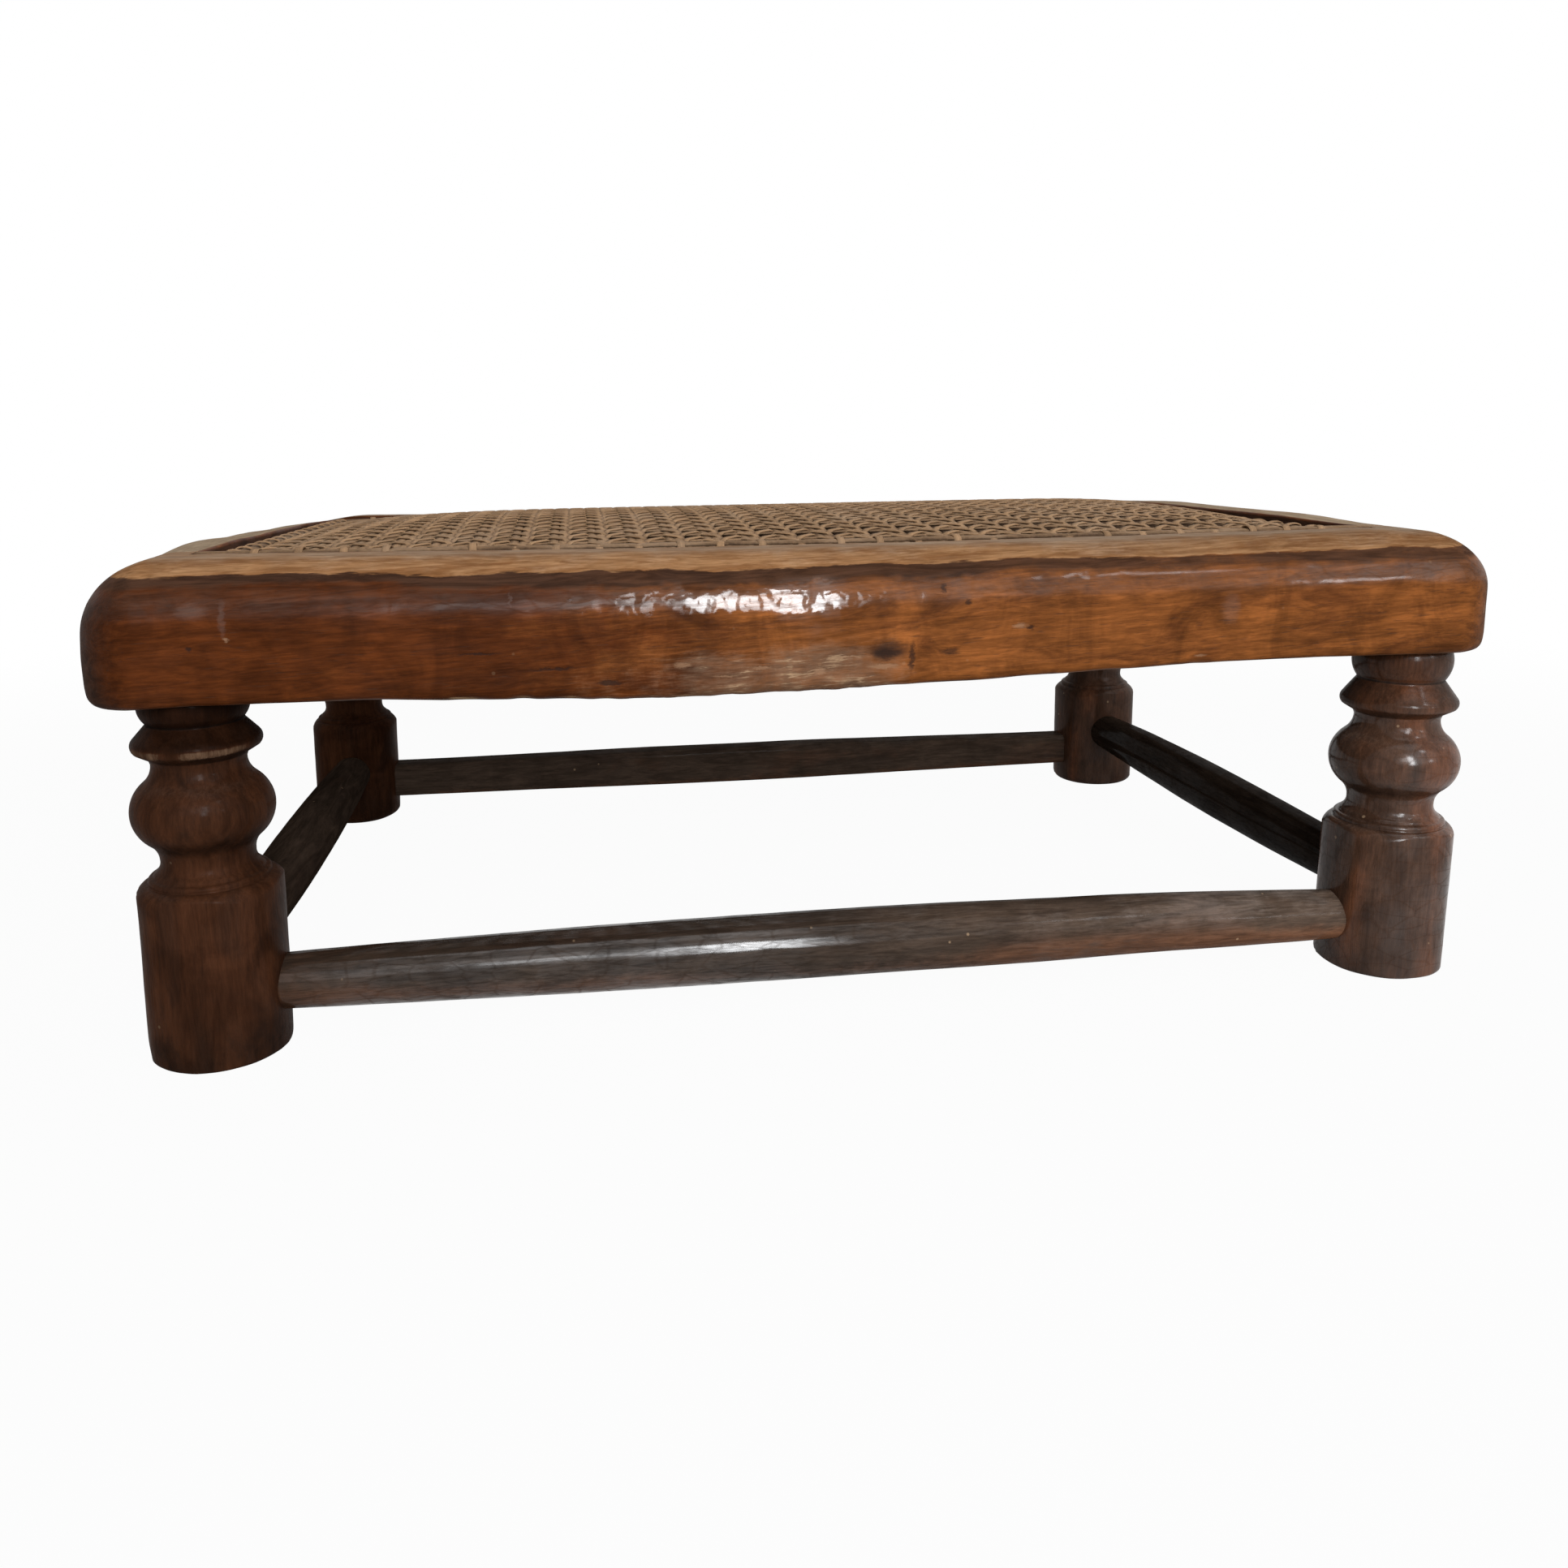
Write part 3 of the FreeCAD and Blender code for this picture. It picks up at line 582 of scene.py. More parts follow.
def railDents(nodeName, seed, count, outward, crowd):
    # bruises scattered over the rounded edge and the outer face, thicker around one place
    draw = random.Random(seed)
    low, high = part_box(nodeName)
    along = Vector((abs(outward.y), abs(outward.x), 0.0))
    centre = (low + high) / 2
    reach = (high - low).dot(along) / 2
    corner = 17.0 * mm
    dents = []
    for index in range(count):
        place = draw.gauss(crowd[0], crowd[1]) if index % 3 else draw.uniform(-reach, reach)
        place = min(max(place, -reach), reach)
        drop = draw.uniform(8.0, 20.0) * mm if index % 4 else draw.uniform(0.0, 34.0) * mm
        inset = 0.0
        if drop < corner:
            inset = corner - math.sqrt(corner ** 2 - (corner - drop) ** 2)
        face = centre + along * place
        face += outward * ((high - low).dot(Vector((abs(outward.x), abs(outward.y), 0.0))) / 2 - inset)
        face.z = high.z - drop
        dents.append((face, draw.uniform(1.8, 4.4) * mm, draw.uniform(0.03, 0.12) * mm))
    return dents


def frontWear(vert, paint, x, z, tilt, quick, blotch, low):
    # what only the front rail shows: a warm right half, a polished edge, a dirty middle, a chipped lower edge
    face = between(50.0, 70.0, 150.0, 170.0, tilt)
    patch = wobble(Vector((x / 34.0, 0.0, z / 7.0)), 1.0, 15)
    shine = alongStations(seatRails["shine"], x + 5.0 * blotch)
    bright = smoothStep(1.15, 1.3, shine)
    thin = bright * smoothStep(-14.0, -24.0, x)       # the bright stretch is narrower on its left
    begin, full = seatRails["shineTilt"]
    lowest = 84.0 + 10.0 * bright + 8.0 * blotch - 9.0 * thin
    shine *= between(begin + 11.0 * thin, full + 8.0 * thin, lowest - 10.0, lowest, tilt)
    dirty = face * smoothStep(*seatRails["dirtyFrom"], x + 14.0 * blotch)
    dirty *= 1.0 - smoothStep(*seatRails["dirtyTo"], x + 5.0 * blotch)
    dirty *= 1.0 - smoothStep(*seatRails["dirtyTop"], z + 4.0 * blotch)
    ends = smoothStep(*seatRails["endsFrom"], abs(x)) * face
    tone = 1.0 + face * (0.16 * between(*seatRails["paler"], x) - 0.08 * smoothStep(110.0, 165.0, x))
    # both ends are darker with dirt, and the left end's extra darkness is painted shade
    tone -= (0.45 if x < 0 else 0.2) * ends + 0.15 * smoothStep(10.0, 110.0, x) * vert[paint["rub"]]
    chipIn, chipUp = seatRails["chipReach"]
    chip = 0.0
    for chipX, size in seatRails["chips"]:
        inside = (vert.co - low) / mm
        away = Vector(((x - chipX) / size, inside.y / chipIn, inside.z / chipUp))
        bite = 1.0 - smoothStep(0.3, 1.0, away.length)
        vert.co += Vector((0.0, 0.4, 0.4)) * mm * bite * (0.75 + 0.5 * quick)
        chip = max(chip, bite)
    warmth = 0.95 * smoothStep(*seatRails["warmFrom"], x + 24.0 * blotch)
    paintVert(vert, paint,
              warmth=warmth + 0.45 * max(0.0, patch) * (x < 0),
              grime=max(vert[paint["grime"]], 0.4 * dirty, 0.55 * ends),
              bare=max(vert[paint["bare"]], 0.55 * chip, 0.42 * dirty),
              dust=max(vert[paint["dust"]], 0.56 * dirty, 0.45 * ends * (x > 0)),
              polish=0.02 * face + shine,
              tone=tone)


def wornRail(side, material, outward, seed, count, crowd):
    nodeName = side + "_seat_rail"
    bm = evenSkin(nodeName, seatRails["voxel"], seatRails["smoothing"])
    if side == "front":
        refine(bm)
    paint = addPaint(bm)
    low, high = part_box(nodeName)
    pressDents(bm, railDents(nodeName, 40 + seed, count, outward, crowd))
    bm.normal_update()
    crest = crestValues(bm)
    recessX, recessY = seatRails["recess"]
    wornTilt = seatRails["wornTilt"]
    for index, vert in enumerate(bm.verts):
        co = vert.co.copy()
        x, y, z = co / mm
        tilt = tiltOf(vert, outward)
        outer = -4.0 < tilt < 178.0
        slow = wobble(co, 55.0 * mm, 1)
        quick = wobble(co, 9.0 * mm, 2)
        blotch = wobble(co, 26.0 * mm, 7)
        along = x if outward.y else y
        line = Vector((along, 0.0, 0.0))
        # masks first, from the shape before its wear
        ragged = tilt + 4.5 * wobble(line, 40.0, 3 + seed) + 2.5 * wobble(line, 13.0, 4 + seed)
        ragged += 1.6 * wobble(line, 4.0, 8 + seed) + 3.0 * smoothStep(-60.0, -150.0, x)
        rub = 1.0 - smoothStep(wornTilt - 5.0, wornTilt + 5.0, ragged)
        band = smoothStep(wornTilt - 5.0, wornTilt + 2.0, ragged)
        lowest = seatRails["bandTilt"] + 5.0 * wobble(line, 22.0, 6 + seed)
        lowest -= 6.0 * smoothStep(-60.0, -120.0, x)
        band *= 1.0 - smoothStep(lowest - 16.0, lowest, ragged)
        band *= alongStations(seatRails["bandShare"], x) + 0.25 * wobble(line, 60.0, 5 + seed)
        veil = seatRails["veil"] * smoothStep(wornTilt, wornTilt + 4.0, ragged)
        band = max(band, veil * (1.0 - smoothStep(70.0, 92.0, ragged + 6.0 * blotch)))
        under = smoothStep(120.0, 165.0, abs(tilt))
        # painted shade: the wood inside the recess under the cane is painted dark
        shadedRecess = 0.0
        if abs(x) < recessX + 1.1 and abs(y) < recessY + 1.1:
            shadedRecess = smoothStep(139.8, 138.9, z)
        land = 0.85
        if side == "front":
            land = (0.38 + 0.38 * smoothStep(-127.0, -112.0, y)) * (0.84 + 0.08 * smoothStep(-70.0, 0.0, x))
        rub *= (1.0 if outer else 0.3) * (1.0 - shadedRecess)
        paintVert(vert, paint,
                  rub=rub,
                  grime=max(band if outer else 0.0, 0.45 * under, 0.95 * shadedRecess),
                  bare=smoothStep(0.1, 0.3, crest[index]) * (0.2 + 0.3 * quick) * (1.0 - shadedRecess),
                  warmth=0.35 + 0.35 * slow,
                  dust=max(0.5 * under * (1.0 - shadedRecess), land * rub),
                  polish=0.1 * smoothStep(50.0, 64.0, tilt),
                  # painted shade: the outer face of the left rail, turned away from the light, is darker
                  tone=0.62 if side == "left" and tilt > 60.0 else 1.0)
        # then the wear itself
        lift = seatRails["wave"] * slow + seatRails["ripple"] * quick
        edge = smoothStep(0.05, 0.25, crest[index])
        lift -= edge * 0.35 * mm * (0.5 + 0.5 * wobble(co, 7.0 * mm, 6))
        if side == "front":
            frontWear(vert, paint, x, z, tilt, quick, blotch, low)
            ridges = wobble(Vector((x / 14.0, y / 2.6, z / 2.6)), 1.0, 8)
            lift += seatRails["pull"] * ridges * smoothStep(45.0, 60.0, tilt)
            crease = 1.0 - abs(wobble(Vector((x / 2.8 + 0.8 * quick, y / 1.5, z / 1.5)), 1.0, 9))
            begin, finish = seatRails["bright"]["x"]
            creased = smoothStep(0.8, 1.0, crease) * smoothStep(*seatRails["shineTilt"], tilt)
            creased *= between(begin, begin + 4.0, finish - 4.0, finish, x)
            lift -= seatRails["wrinkle"] * creased
            share = smoothStep(high.z, low.z, co.z) * smoothStep(high.y, low.y + 4.0 * mm, co.y)
            vert.co.z += alongStations(seatRails["lowerEdge"], x) * mm * share
        vert.co += vert.normal * lift + wornShift(x, y, z) * mm
    bm.normal_update()
    addPiece(bm, "worn_" + side + "_rail", material, "rail_wood", nodeName)


wornRail("front", frontRailWood, front, 1, 170, (-0.03, 0.05))
wornRail("back", longRailWood, back, 2, 110, (0.05, 0.1))
wornRail("left", sideRailWood, left, 3, 60, (0.0, 0.06))
wornRail("right", sideRailWood, right, 4, 60, (0.0, 0.06))
print("seat rails done")


turnedLegs = {
    "segments": 96,
    "step": 1.3,               # mm between rings on the straight stretches
    "footRadius": 19.3,
    "footFlat": 18.1,          # half width across the four softly flattened sides
    "ballBottom": 58.0,
    "disc": (84.6, 85.4, 87.4, 88.4),      # heights at which its edge begins and ends
    "sink": 3.0,               # mm that the top bead runs up into the rail
    # lift moves the turned stretch up or down, girth is added to the radius of the foot
    # bead is the radius of the top bead, neck the height where it begins
    # soft is how much lower the rounding at the top of the foot begins, trim is wood lost from its right side
    # wear is the rounding at the floor, lean is how far the foot stands out there
    # dim is the shade on the disc, crescent its pale edge, soot darkens the foot towards the floor and paints
    # shade on every downward face, below the ball too
    # tone darkens or lightens each leg as a whole: mostly its own colour, with painted shade on the back left
    # leg under the seat
    "any": {"bead": 8.0, "neck": 94.6, "soft": 0.0, "trim": 0.0, "girth": 0.0, "lean": 0.0, "dim": 1.0,
            "polish": 0.0, "crescent": 0.0},
    "front_left": {"lift": 1.9, "bead": 6.4, "neck": 93.5, "girth": 0.5, "lean": -1.2, "wear": 1.6,
                   "dim": 0.38, "tone": 0.49, "warm": 1.0, "polish": 0.05, "crescent": 1.0, "lowDarkAndUnderShade": 0.5},
    "front_right": {"lift": -1.4, "bead": 10.0, "trim": 0.9, "girth": -0.2, "wear": 1.8, "dim": 0.62,
                    "tone": 1.4, "warm": 0.36, "polish": 1.0, "lowDarkAndUnderShade": 0.4},
    "back_left": {"lift": -2.6, "soft": 2.4, "lean": -1.0, "wear": 4.2, "tone": 0.5, "warm": 0.85,
                  "lowDarkAndUnderShade": 0.5},
    "back_right": {"lift": -1.0, "soft": 0.6, "lean": 0.5, "wear": 3.4, "tone": 1.9, "warm": 0.26,
                   "polish": 0.3, "lowDarkAndUnderShade": 0.4},
}


def lineTo(outline, end, step):
    start = outline[-1]
    count = max(1, round((end - start).length / step))
    outline.extend(start.lerp(end, (index + 1) / count) for index in range(count))


def arcTo(outline, end, radius, bulge, steps=9):
    # bulge 1 swells outwards, -1 hollows inwards
    start = outline[-1]
    chord = end - start
    rise = math.sqrt(max(radius ** 2 - (chord.length / 2) ** 2, 0.0))
    centre = (start + end) / 2 + Vector((-chord.y, chord.x)).normalized() * rise * bulge
    first = math.atan2(start.y - centre.y, start.x - centre.x)
    sweep = math.asin(chord.length / 2 / radius) * 2 * bulge
    for index in range(steps):
        angle = first + sweep * (index + 1) / steps
        outline.append(centre + Vector((math.cos(angle), math.sin(angle))) * radius)


def legOutline(look, railUnder):
    # (radius, height) in millimetres from the floor up to just inside the rail
    step = turnedLegs["step"]
    foot = turnedLegs["footRadius"] + look["girth"]
    wear, lift, soft = look["wear"], look["lift"], look["soft"]

    def at(radius, height):
        return Vector((radius, height + lift))

    outline = [Vector((0.0, 0.0))]
    lineTo(outline, Vector((foot - wear, 0.0)), step * 2)
    arcTo(outline, Vector((foot, wear)), wear, 1, 5)
    lineTo(outline, at(foot, 45.0 - soft), step)
    arcTo(outline, at(16.8, 48.8), 5.0 + 2.0 * soft, 1, 7)
    lineTo(outline, at(15.9, 48.9), 0.3)
    arcTo(outline, at(14.7, 50.6), 1.15, 1, 6)
    lineTo(outline, at(14.1, 51.5), 0.5)
    arcTo(outline, at(12.35, 55.3), 4.2, -1, 8)
    arcTo(outline, at(14.8, 60.5), 6.6, -1, 9)
    arcTo(outline, at(14.8, 76.9), 10.6, 1, 22)
    arcTo(outline, at(12.2, 82.4), 7.0, -1, 9)
    lineTo(outline, at(12.7, 83.9), 0.5)
    lineTo(outline, at(16.2, 86.0), 0.6)
    arcTo(outline, at(16.2, 89.2), 2.45, 1, 6)
    lineTo(outline, at(12.3, look["neck"]), 0.8)
    arcTo(outline, Vector((13.0, railUnder)), look["bead"], 1, 12)
    lineTo(outline, Vector((12.6, railUnder + turnedLegs["sink"])), step)
    lineTo(outline, Vector((0.0, railUnder + turnedLegs["sink"])), step * 4)
    return outline


def turnedLeg(corner, seed):
    nodeName = corner + "_leg"
    look = dict(turnedLegs["any"], **turnedLegs[corner])
    centre = middleOf(nodeName)
    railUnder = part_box("front_seat_rail")[0].z / mm
    bm = bmesh.new()
    outline = legOutline(look, railUnder)
    verts = [bm.verts.new((point.x * mm, 0.0, point.y * mm)) for point in outline]
    for pair in zip(verts, verts[1:]):
        bm.edges.new(pair)
    lathe(bm, (0, 0, 1), turnedLegs["segments"])
    paint = addPaint(bm)
    foot = turnedLegs["footRadius"] + look["girth"]
    flat = turnedLegs["footFlat"] + look["girth"]
    for vert in bm.verts:
        away = math.hypot(vert.co.x, vert.co.y)
        if vert.co.z < turnedLegs["ballBottom"] * mm and away > 0.0:
            angle = math.atan2(vert.co.y, vert.co.x)
            limit = (foot + flat) / 2 - (foot - flat) / 2 * math.cos(4.0 * angle)
            limit -= look["trim"] * max(0.0, math.cos(angle)) ** 4
            shrink = min(1.0, limit * mm / away)
            vert.co.x *= shrink
            vert.co.y *= shrink
    bm.normal_update()
    crest = crestValues(bm)
    shift = Vector((seed * 0.31, seed * 0.17, seed * 0.05))
    for index, vert in enumerate(bm.verts):
        co = vert.co + shift
        height = vert.co.z / mm
        profile = height - look["lift"]
        slow = wobble(co, 30.0 * mm, 11)
        quick = wobble(co, 5.0 * mm, 12)
        edge = smoothStep(0.05, 0.22, crest[index])
        hollow = smoothStep(0.03, 0.16, -crest[index])
        patch = wobble(Vector((co.x, co.y, co.z * 0.22)), 9.0 * mm, 13)
        frontSide = smoothStep(0.25, 0.75, -vert.normal.y)
        crescent = look["crescent"] * frontSide * between(*turnedLegs["disc"], profile)
        crescent *= smoothStep(-0.55, 0.1, wobble(co, 6.0 * mm, 16))
        shade = (1.0 - look["dim"]) * smoothStep(85.5, 88.5, profile)
        # darker towards the floor, and painted shade on every face that looks down
        lowDarkAndUnderShade = max(smoothStep(34.0, 0.0, height), smoothStep(-0.1, -0.7, vert.normal.z))
        waxed = look["polish"] * (0.75 + 0.5 * slow) * smoothStep(-0.8, -0.4, vert.normal.z)
        waxed *= 1.0 - 0.6 * smoothStep(0.1, 0.7, -vert.normal.x)
        waxed *= 1.0 - 0.45 * smoothStep(84.0, 88.0, profile)
        paintVert(vert, paint,
                  warmth=look["warm"] + 0.75 * patch,
                  rub=max(edge * (0.42 + 0.3 * quick + 0.15 * slow), crescent * (0.9 + 0.3 * quick)),
                  grime=hollow * 0.75 + look["lowDarkAndUnderShade"] * lowDarkAndUnderShade,
                  dust=smoothStep(0.3, 0.9, vert.normal.z) * (0.4 + 0.3 * slow),
                  polish=waxed,
                  tone=look["tone"] * (1.0 + crescent - shade))
        vert.co += vert.normal * (0.16 * slow + 0.05 * quick - 0.3 * edge * max(0.0, 0.3 + quick)) * mm
        if height < 9.0:
            worn = smoothStep(9.0, 0.0, height) * (0.45 + 0.75 * wobble(co, 13.0 * mm, 14))
            away = Vector((vert.co.x, vert.co.y, 0.0))
            if away.length > 8.0 * mm:
                vert.co -= away.normalized() * max(0.0, worn) * 0.9 * mm
        vert.co += Vector((centre.x + look["lean"] * mm * max(0.0, 1.0 - height / 45.0), centre.y, 0.0))
        vert.co.z = max(vert.co.z, 0.0)
    bm.normal_update()
    addPiece(bm, "turned_" + nodeName, legWood, "leg_wood", nodeName)


for seed, corner in enumerate(("front_left", "front_right", "back_left", "back_right"), start=1):
    turnedLeg(corner, seed)
print("legs done")


stretchers = {
    "segments": 44,
    "cuts": 130,
    "endRadius": 7.9 * mm,
    "tenon": 9.0 * mm,         # length of bar that the CAD node has inside each foot
    "enter": 3.0 * mm,         # how far the shouldered bar is drawn into the foot here
    "arris": 2.6 * mm,
    "barHeight": 16.0 * mm,
    "barDepth": 13.0 * mm,
    "barHewn": ((-160, 0.96), (5, 1.07), (170, 0.89)),     # share of the height left along the back bar
    # rise and fall of each bar, then its tone, dust, warmth and polish, all by place along it in millimetres
    # on the front bar, the tone rising to the right is partly painted sheen, and the grey on its top is dust
    # and painted sheen
    "front": {"swell": 10.1 * mm, "rise": ((-165, 0.7), (0, 0.7), (80, 0.2), (170, -1.1)),
              "tone": ((-170, 0.75), (-20, 0.9), (60, 1.65), (170, 2.0)),
              "dust": ((-170, 0.0), (-100, 0.1), (-20, 0.25), (40, 0.4), (170, 0.48)),
              "warmth": ((-170, 1.0), (-90, 0.7), (0, 0.5), (90, 0.8), (170, 0.7)),
              "polish": ((-170, 0.3), (-130, 1.1), (-90, 1.4), (-32, 1.4), (-6, 0.7), (50, 0.25),
                         (170, 0.2))},
    "left": {"swell": 9.7 * mm, "rise": ((0, 0.0),), "tone": ((0, 1.3),), "dust": ((0, 0.0),),
             "warmth": ((0, 0.1),), "polish": ((0, 0.0),)},
    "right": {"swell": 9.7 * mm, "rise": ((-100, -0.6), (100, 0.9)), "tone": ((-100, 0.7), (100, 1.0)),
              "dust": ((-100, 0.1), (100, 0.2)), "warmth": ((0, 0.1),), "polish": ((0, 0.1),)},
    "back": {"rise": ((0, 0.0),), "tone": ((-160, 1.5), (160, 1.8)),
             "dust": ((-160, 0.1), (0, 0.3), (160, 0.35)),
             "warmth": ((-160, 0.5), (160, 0.45)), "polish": ((0, 0.05),)},
}


def ageBar(bm, along, side, seed):
    # rubbed top, dirt below, shallow flats left by the drawknife, and the bar's own bend
    look = stretchers[side]
    paint = addPaint(bm)
    bm.normal_update()
    crest = crestValues(bm)
    shift = Vector((0.13, 0.07, 0.19)) * seed
    for index, vert in enumerate(bm.verts):
        co = vert.co + shift
        place = vert.co.dot(along) / mm
        run = Vector((co.x * 0.25, co.y, co.z)) if along.x else Vector((co.x, co.y * 0.25, co.z))
        slow = wobble(run, 12.0 * mm, 21)
        quick = wobble(run, 2.6 * mm, 22)
        edge = smoothStep(0.06, 0.25, crest[index])
        top = smoothStep(-0.2, 0.9, vert.normal.z)
        low = smoothStep(0.3, -0.6, vert.normal.z)
        paintVert(vert, paint,
                  dust=alongStations(look["dust"], place) * (0.35 + 0.65 * top) + 0.3 * slow,
                  warmth=alongStations(look["warmth"], place) * (0.3 + 0.7 * low) + 0.35 * slow,
                  rub=edge * (0.45 + 0.3 * quick),
                  grime=0.25 + 0.25 * slow,
                  bare=max(0.0, quick - 0.62) * 1.4,
                  polish=alongStations(look["polish"], place) * (0.8 + 0.5 * slow),
                  tone=alongStations(look["tone"], place))
        vert.co += vert.normal * (0.22 * slow + 0.05 * quick) * mm
        vert.co.z += alongStations(look["rise"], place) * mm
    bm.normal_update()


def roundStretcher(side, along, material, seed):
    nodeName = side + "_stretcher"
    low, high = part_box(nodeName)
    reach = (high - low).dot(along) / 2
    half = reach - stretchers["tenon"]
    end = half + stretchers["enter"]
    bm = bmesh.new()
    profile = ((-end, 0.0), (-end, stretchers["endRadius"]), (end, stretchers["endRadius"]), (end, 0.0))
    across = Vector((0.0, 0.0, 1.0))
    verts = [bm.verts.new(along * place + across * radius) for place, radius in profile]
    edges = [bm.edges.new(pair) for pair in zip(verts, verts[1:])]
    bmesh.ops.subdivide_edges(bm, edges=[edges[1]], cuts=stretchers["cuts"])
    for vert in bm.verts:
        place = min(abs(vert.co.dot(along)) / half, 1.0)
        if vert.co.z > 0.0:
            vert.co.z += (stretchers[side]["swell"] - stretchers["endRadius"]) * (1.0 - place ** 2)
    lathe(bm, along, stretchers["segments"])
    ageBar(bm, along, side, seed)
    bmesh.ops.translate(bm, verts=bm.verts, vec=(low + high) / 2)
    addPiece(bm, "turned_" + nodeName, material, "stretcher_wood", nodeName)


def hewnStretcher():
    nodeName = "back_stretcher"
    low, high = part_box(nodeName)
    length = high.x - low.x - 2.0 * (stretchers["tenon"] - stretchers["enter"])
    bm = bmesh.new()
    size = Matrix.Diagonal((length, stretchers["barDepth"], stretchers["barHeight"], 1.0))
    bmesh.ops.create_cube(bm, size=1.0, matrix=size)
    longEdges = [edge for edge in bm.edges if edge.calc_length() > length * 0.99]
    bmesh.ops.bevel(bm, geom=longEdges, offset=stretchers["arris"], affect="EDGES", segments=3, profile=0.5,
                    material=-1)
    faceEdges = [edge for edge in bm.edges if 4.0 * mm < edge.calc_length() < length * 0.9]
    bmesh.ops.subdivide_edges(bm, edges=faceEdges, cuts=5, use_grid_fill=True)
    longEdges = [edge for edge in bm.edges if edge.calc_length() > length * 0.9]
    bmesh.ops.subdivide_edges(bm, edges=longEdges, cuts=stretchers["cuts"], use_grid_fill=True)
    for vert in bm.verts:
        vert.co.z *= alongStations(stretchers["barHewn"], vert.co.x / mm)
    ageBar(bm, right, "back", 9)
    bmesh.ops.translate(bm, verts=bm.verts, vec=(low + high) / 2)
    addPiece(bm, "hewn_back_stretcher", longStretcherWood, "stretcher_wood", nodeName)


roundStretcher("front", right, longStretcherWood, 5)
roundStretcher("left", back, sideStretcherWood, 6)
roundStretcher("right", back, sideStretcherWood, 7)
hewnStretcher()
print("stretchers done")


caneSeat = {
    "columns": 28,             # pairs of strands from front to back
    "rows": 17,                # pairs from side to side
    "strandWidth": 2.5 * mm,
    "strandThick": 0.42 * mm,
    "crown": 0.16 * mm,        # how much the glossy side of a strand is domed
    "pairGap": 2.6 * mm,       # between the middles of the two strands of a pair
    "weave": 0.3 * mm,         # rise and fall where pairs cross
    "slant": 0.68 * mm,        # rise and fall of the diagonals
    "swell": 6.0 * mm,         # the seat stands up this much in the middle
    "settled": 0.4,            # share of the frame's settling that the tight net follows
    "step": 1.15 * mm,
    "sway": 0.35 * mm,         # strands wander a little
    "hole": 2.2 * mm,          # how far a strand is drawn down at its hole
    "bed": 0.95 * mm,          # height of the net above its ledge, before it swells
    "hump": 1.05 * mm,         # half length of the rise over a crossing strand
    "slantShare": 0.95,        # diagonals are this much of the others' width
    # how late the net falls off towards each edge
    "fall": {"left": 5.0, "right": 14.0, "front": 1.7, "back": 3.2},
    # numbers of the first strand of each set, which give every strand its own shade
    "crossFirst": 60,
    "slantFirst": {-1: 120, 1: 180},
}
frontLine = middleOf("front_cane_binder").y
leftLine = middleOf("left_cane_binder").x
pitchX = -2.0 * leftLine / (caneSeat["columns"] + 1)
pitchY = -2.0 * frontLine / (caneSeat["rows"] + 1)
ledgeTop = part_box("cane_panel")[0].z
bed = ledgeTop + caneSeat["bed"]
columnPlaces = [leftLine + pitchX * (index + 1) for index in range(caneSeat["columns"])]
rowPlaces = [frontLine + pitchY * (index + 1) for index in range(caneSeat["rows"])]


def bumpAt(value, place):
    return math.exp(-((value - place) / caneSeat["hump"]) ** 2)


def nearest(value, first, pitch, count):
    index = min(max(round((value - first) / pitch), 0), count - 1)
    return first + pitch * index


def sunk(x, y):
    return -settle(x / mm, y / mm) * mm * caneSeat["settled"]


def swellAt(x, y):
    # the net is fullest behind the middle, falls gently to the front and a little lower to the left
    fall = caneSeat["fall"]
    sideShare = min(abs(x / leftLine), 1.0) ** fall["left" if x < 0 else "right"]
    depthShare = min(abs(y / frontLine), 1.0) ** fall["front" if y < 0 else "back"]
    rise = caneSeat["swell"] * (1.0 - sideShare) * (1.0 - depthShare)
    return rise * (1.0 + 0.05 * smoothStep(-90.0 * mm, 110.0 * mm, x)) + sunk(x, y)


def dive(distance):
    # how far a strand has gone down into its hole, this close to the line of holes
    return -caneSeat["hole"] * (1.0 - smoothStep(0.2 * mm, 3.2 * mm, distance))


def shadeBehindLand(y):
    # painted shade on the strands where they go down behind the front land
    return 0.9 * caneSeat["slant"] * (1.0 - smoothStep(2.0 * mm, 9.0 * mm, y - frontLine))


def layGrid(bm, layers, wide, long, shape):
    # a grid whose points go where shape(side, run) says, side from -1 to 1 and run from 0 to 1
    uv, crest = layers
    made = bmesh.ops.create_grid(bm, x_segments=wide, y_segments=long, size=0.5)
    for vert in made["verts"]:
        vert.co, height, mark = shape(vert.co.x * 2.0, vert.co.y + 0.5)
        vert[crest] = min(max(height, 0.0), 1.0)
        for loop in vert.link_loops:
            loop[uv].uv = mark


def stripMark(strip, side, run):
    return strip + 0.5 + side * 0.45, run


def layStrand(bm, layers, strip, length, centreAt, across, width):
    # one strand of the net, which follows centreAt
    def shape(side, run):
        place, height = centreAt(run)
        place += across * side * width / 2
        place.z += caneSeat["crown"] * (1.0 - side * side)
        # painted light and shade: a strand is lighter where it rides over a crossing, darker where it dips
        # under, lightest along its crown
        crest = 0.5 + height / (2.0 * caneSeat["slant"]) + 0.12 * (1.0 - abs(side))
        return place, crest, stripMark(strip, side, run * length / mm)

    layGrid(bm, layers, 2, max(4, round(length / caneSeat["step"])), shape)


def strandMesh():
    bm = bmesh.new()
    uv = bm.loops.layers.uv.new("strand")
    crest = bm.verts.layers.float.new("crest")
    return bm, (uv, crest)


def addCane(bm, name, thickness, *nodeNames):
    bmesh.ops.recalc_face_normals(bm, faces=bm.faces)
    down = [face for face in bm.faces if face.normal.z < -0.2]
    bmesh.ops.reverse_faces(bm, faces=down)
    piece = addPiece(bm, name, caneFinish, "cane", *nodeNames)
    wall = piece.modifiers.new("thickness", "SOLIDIFY")
    wall.thickness = thickness
    wall.offset = -1.0


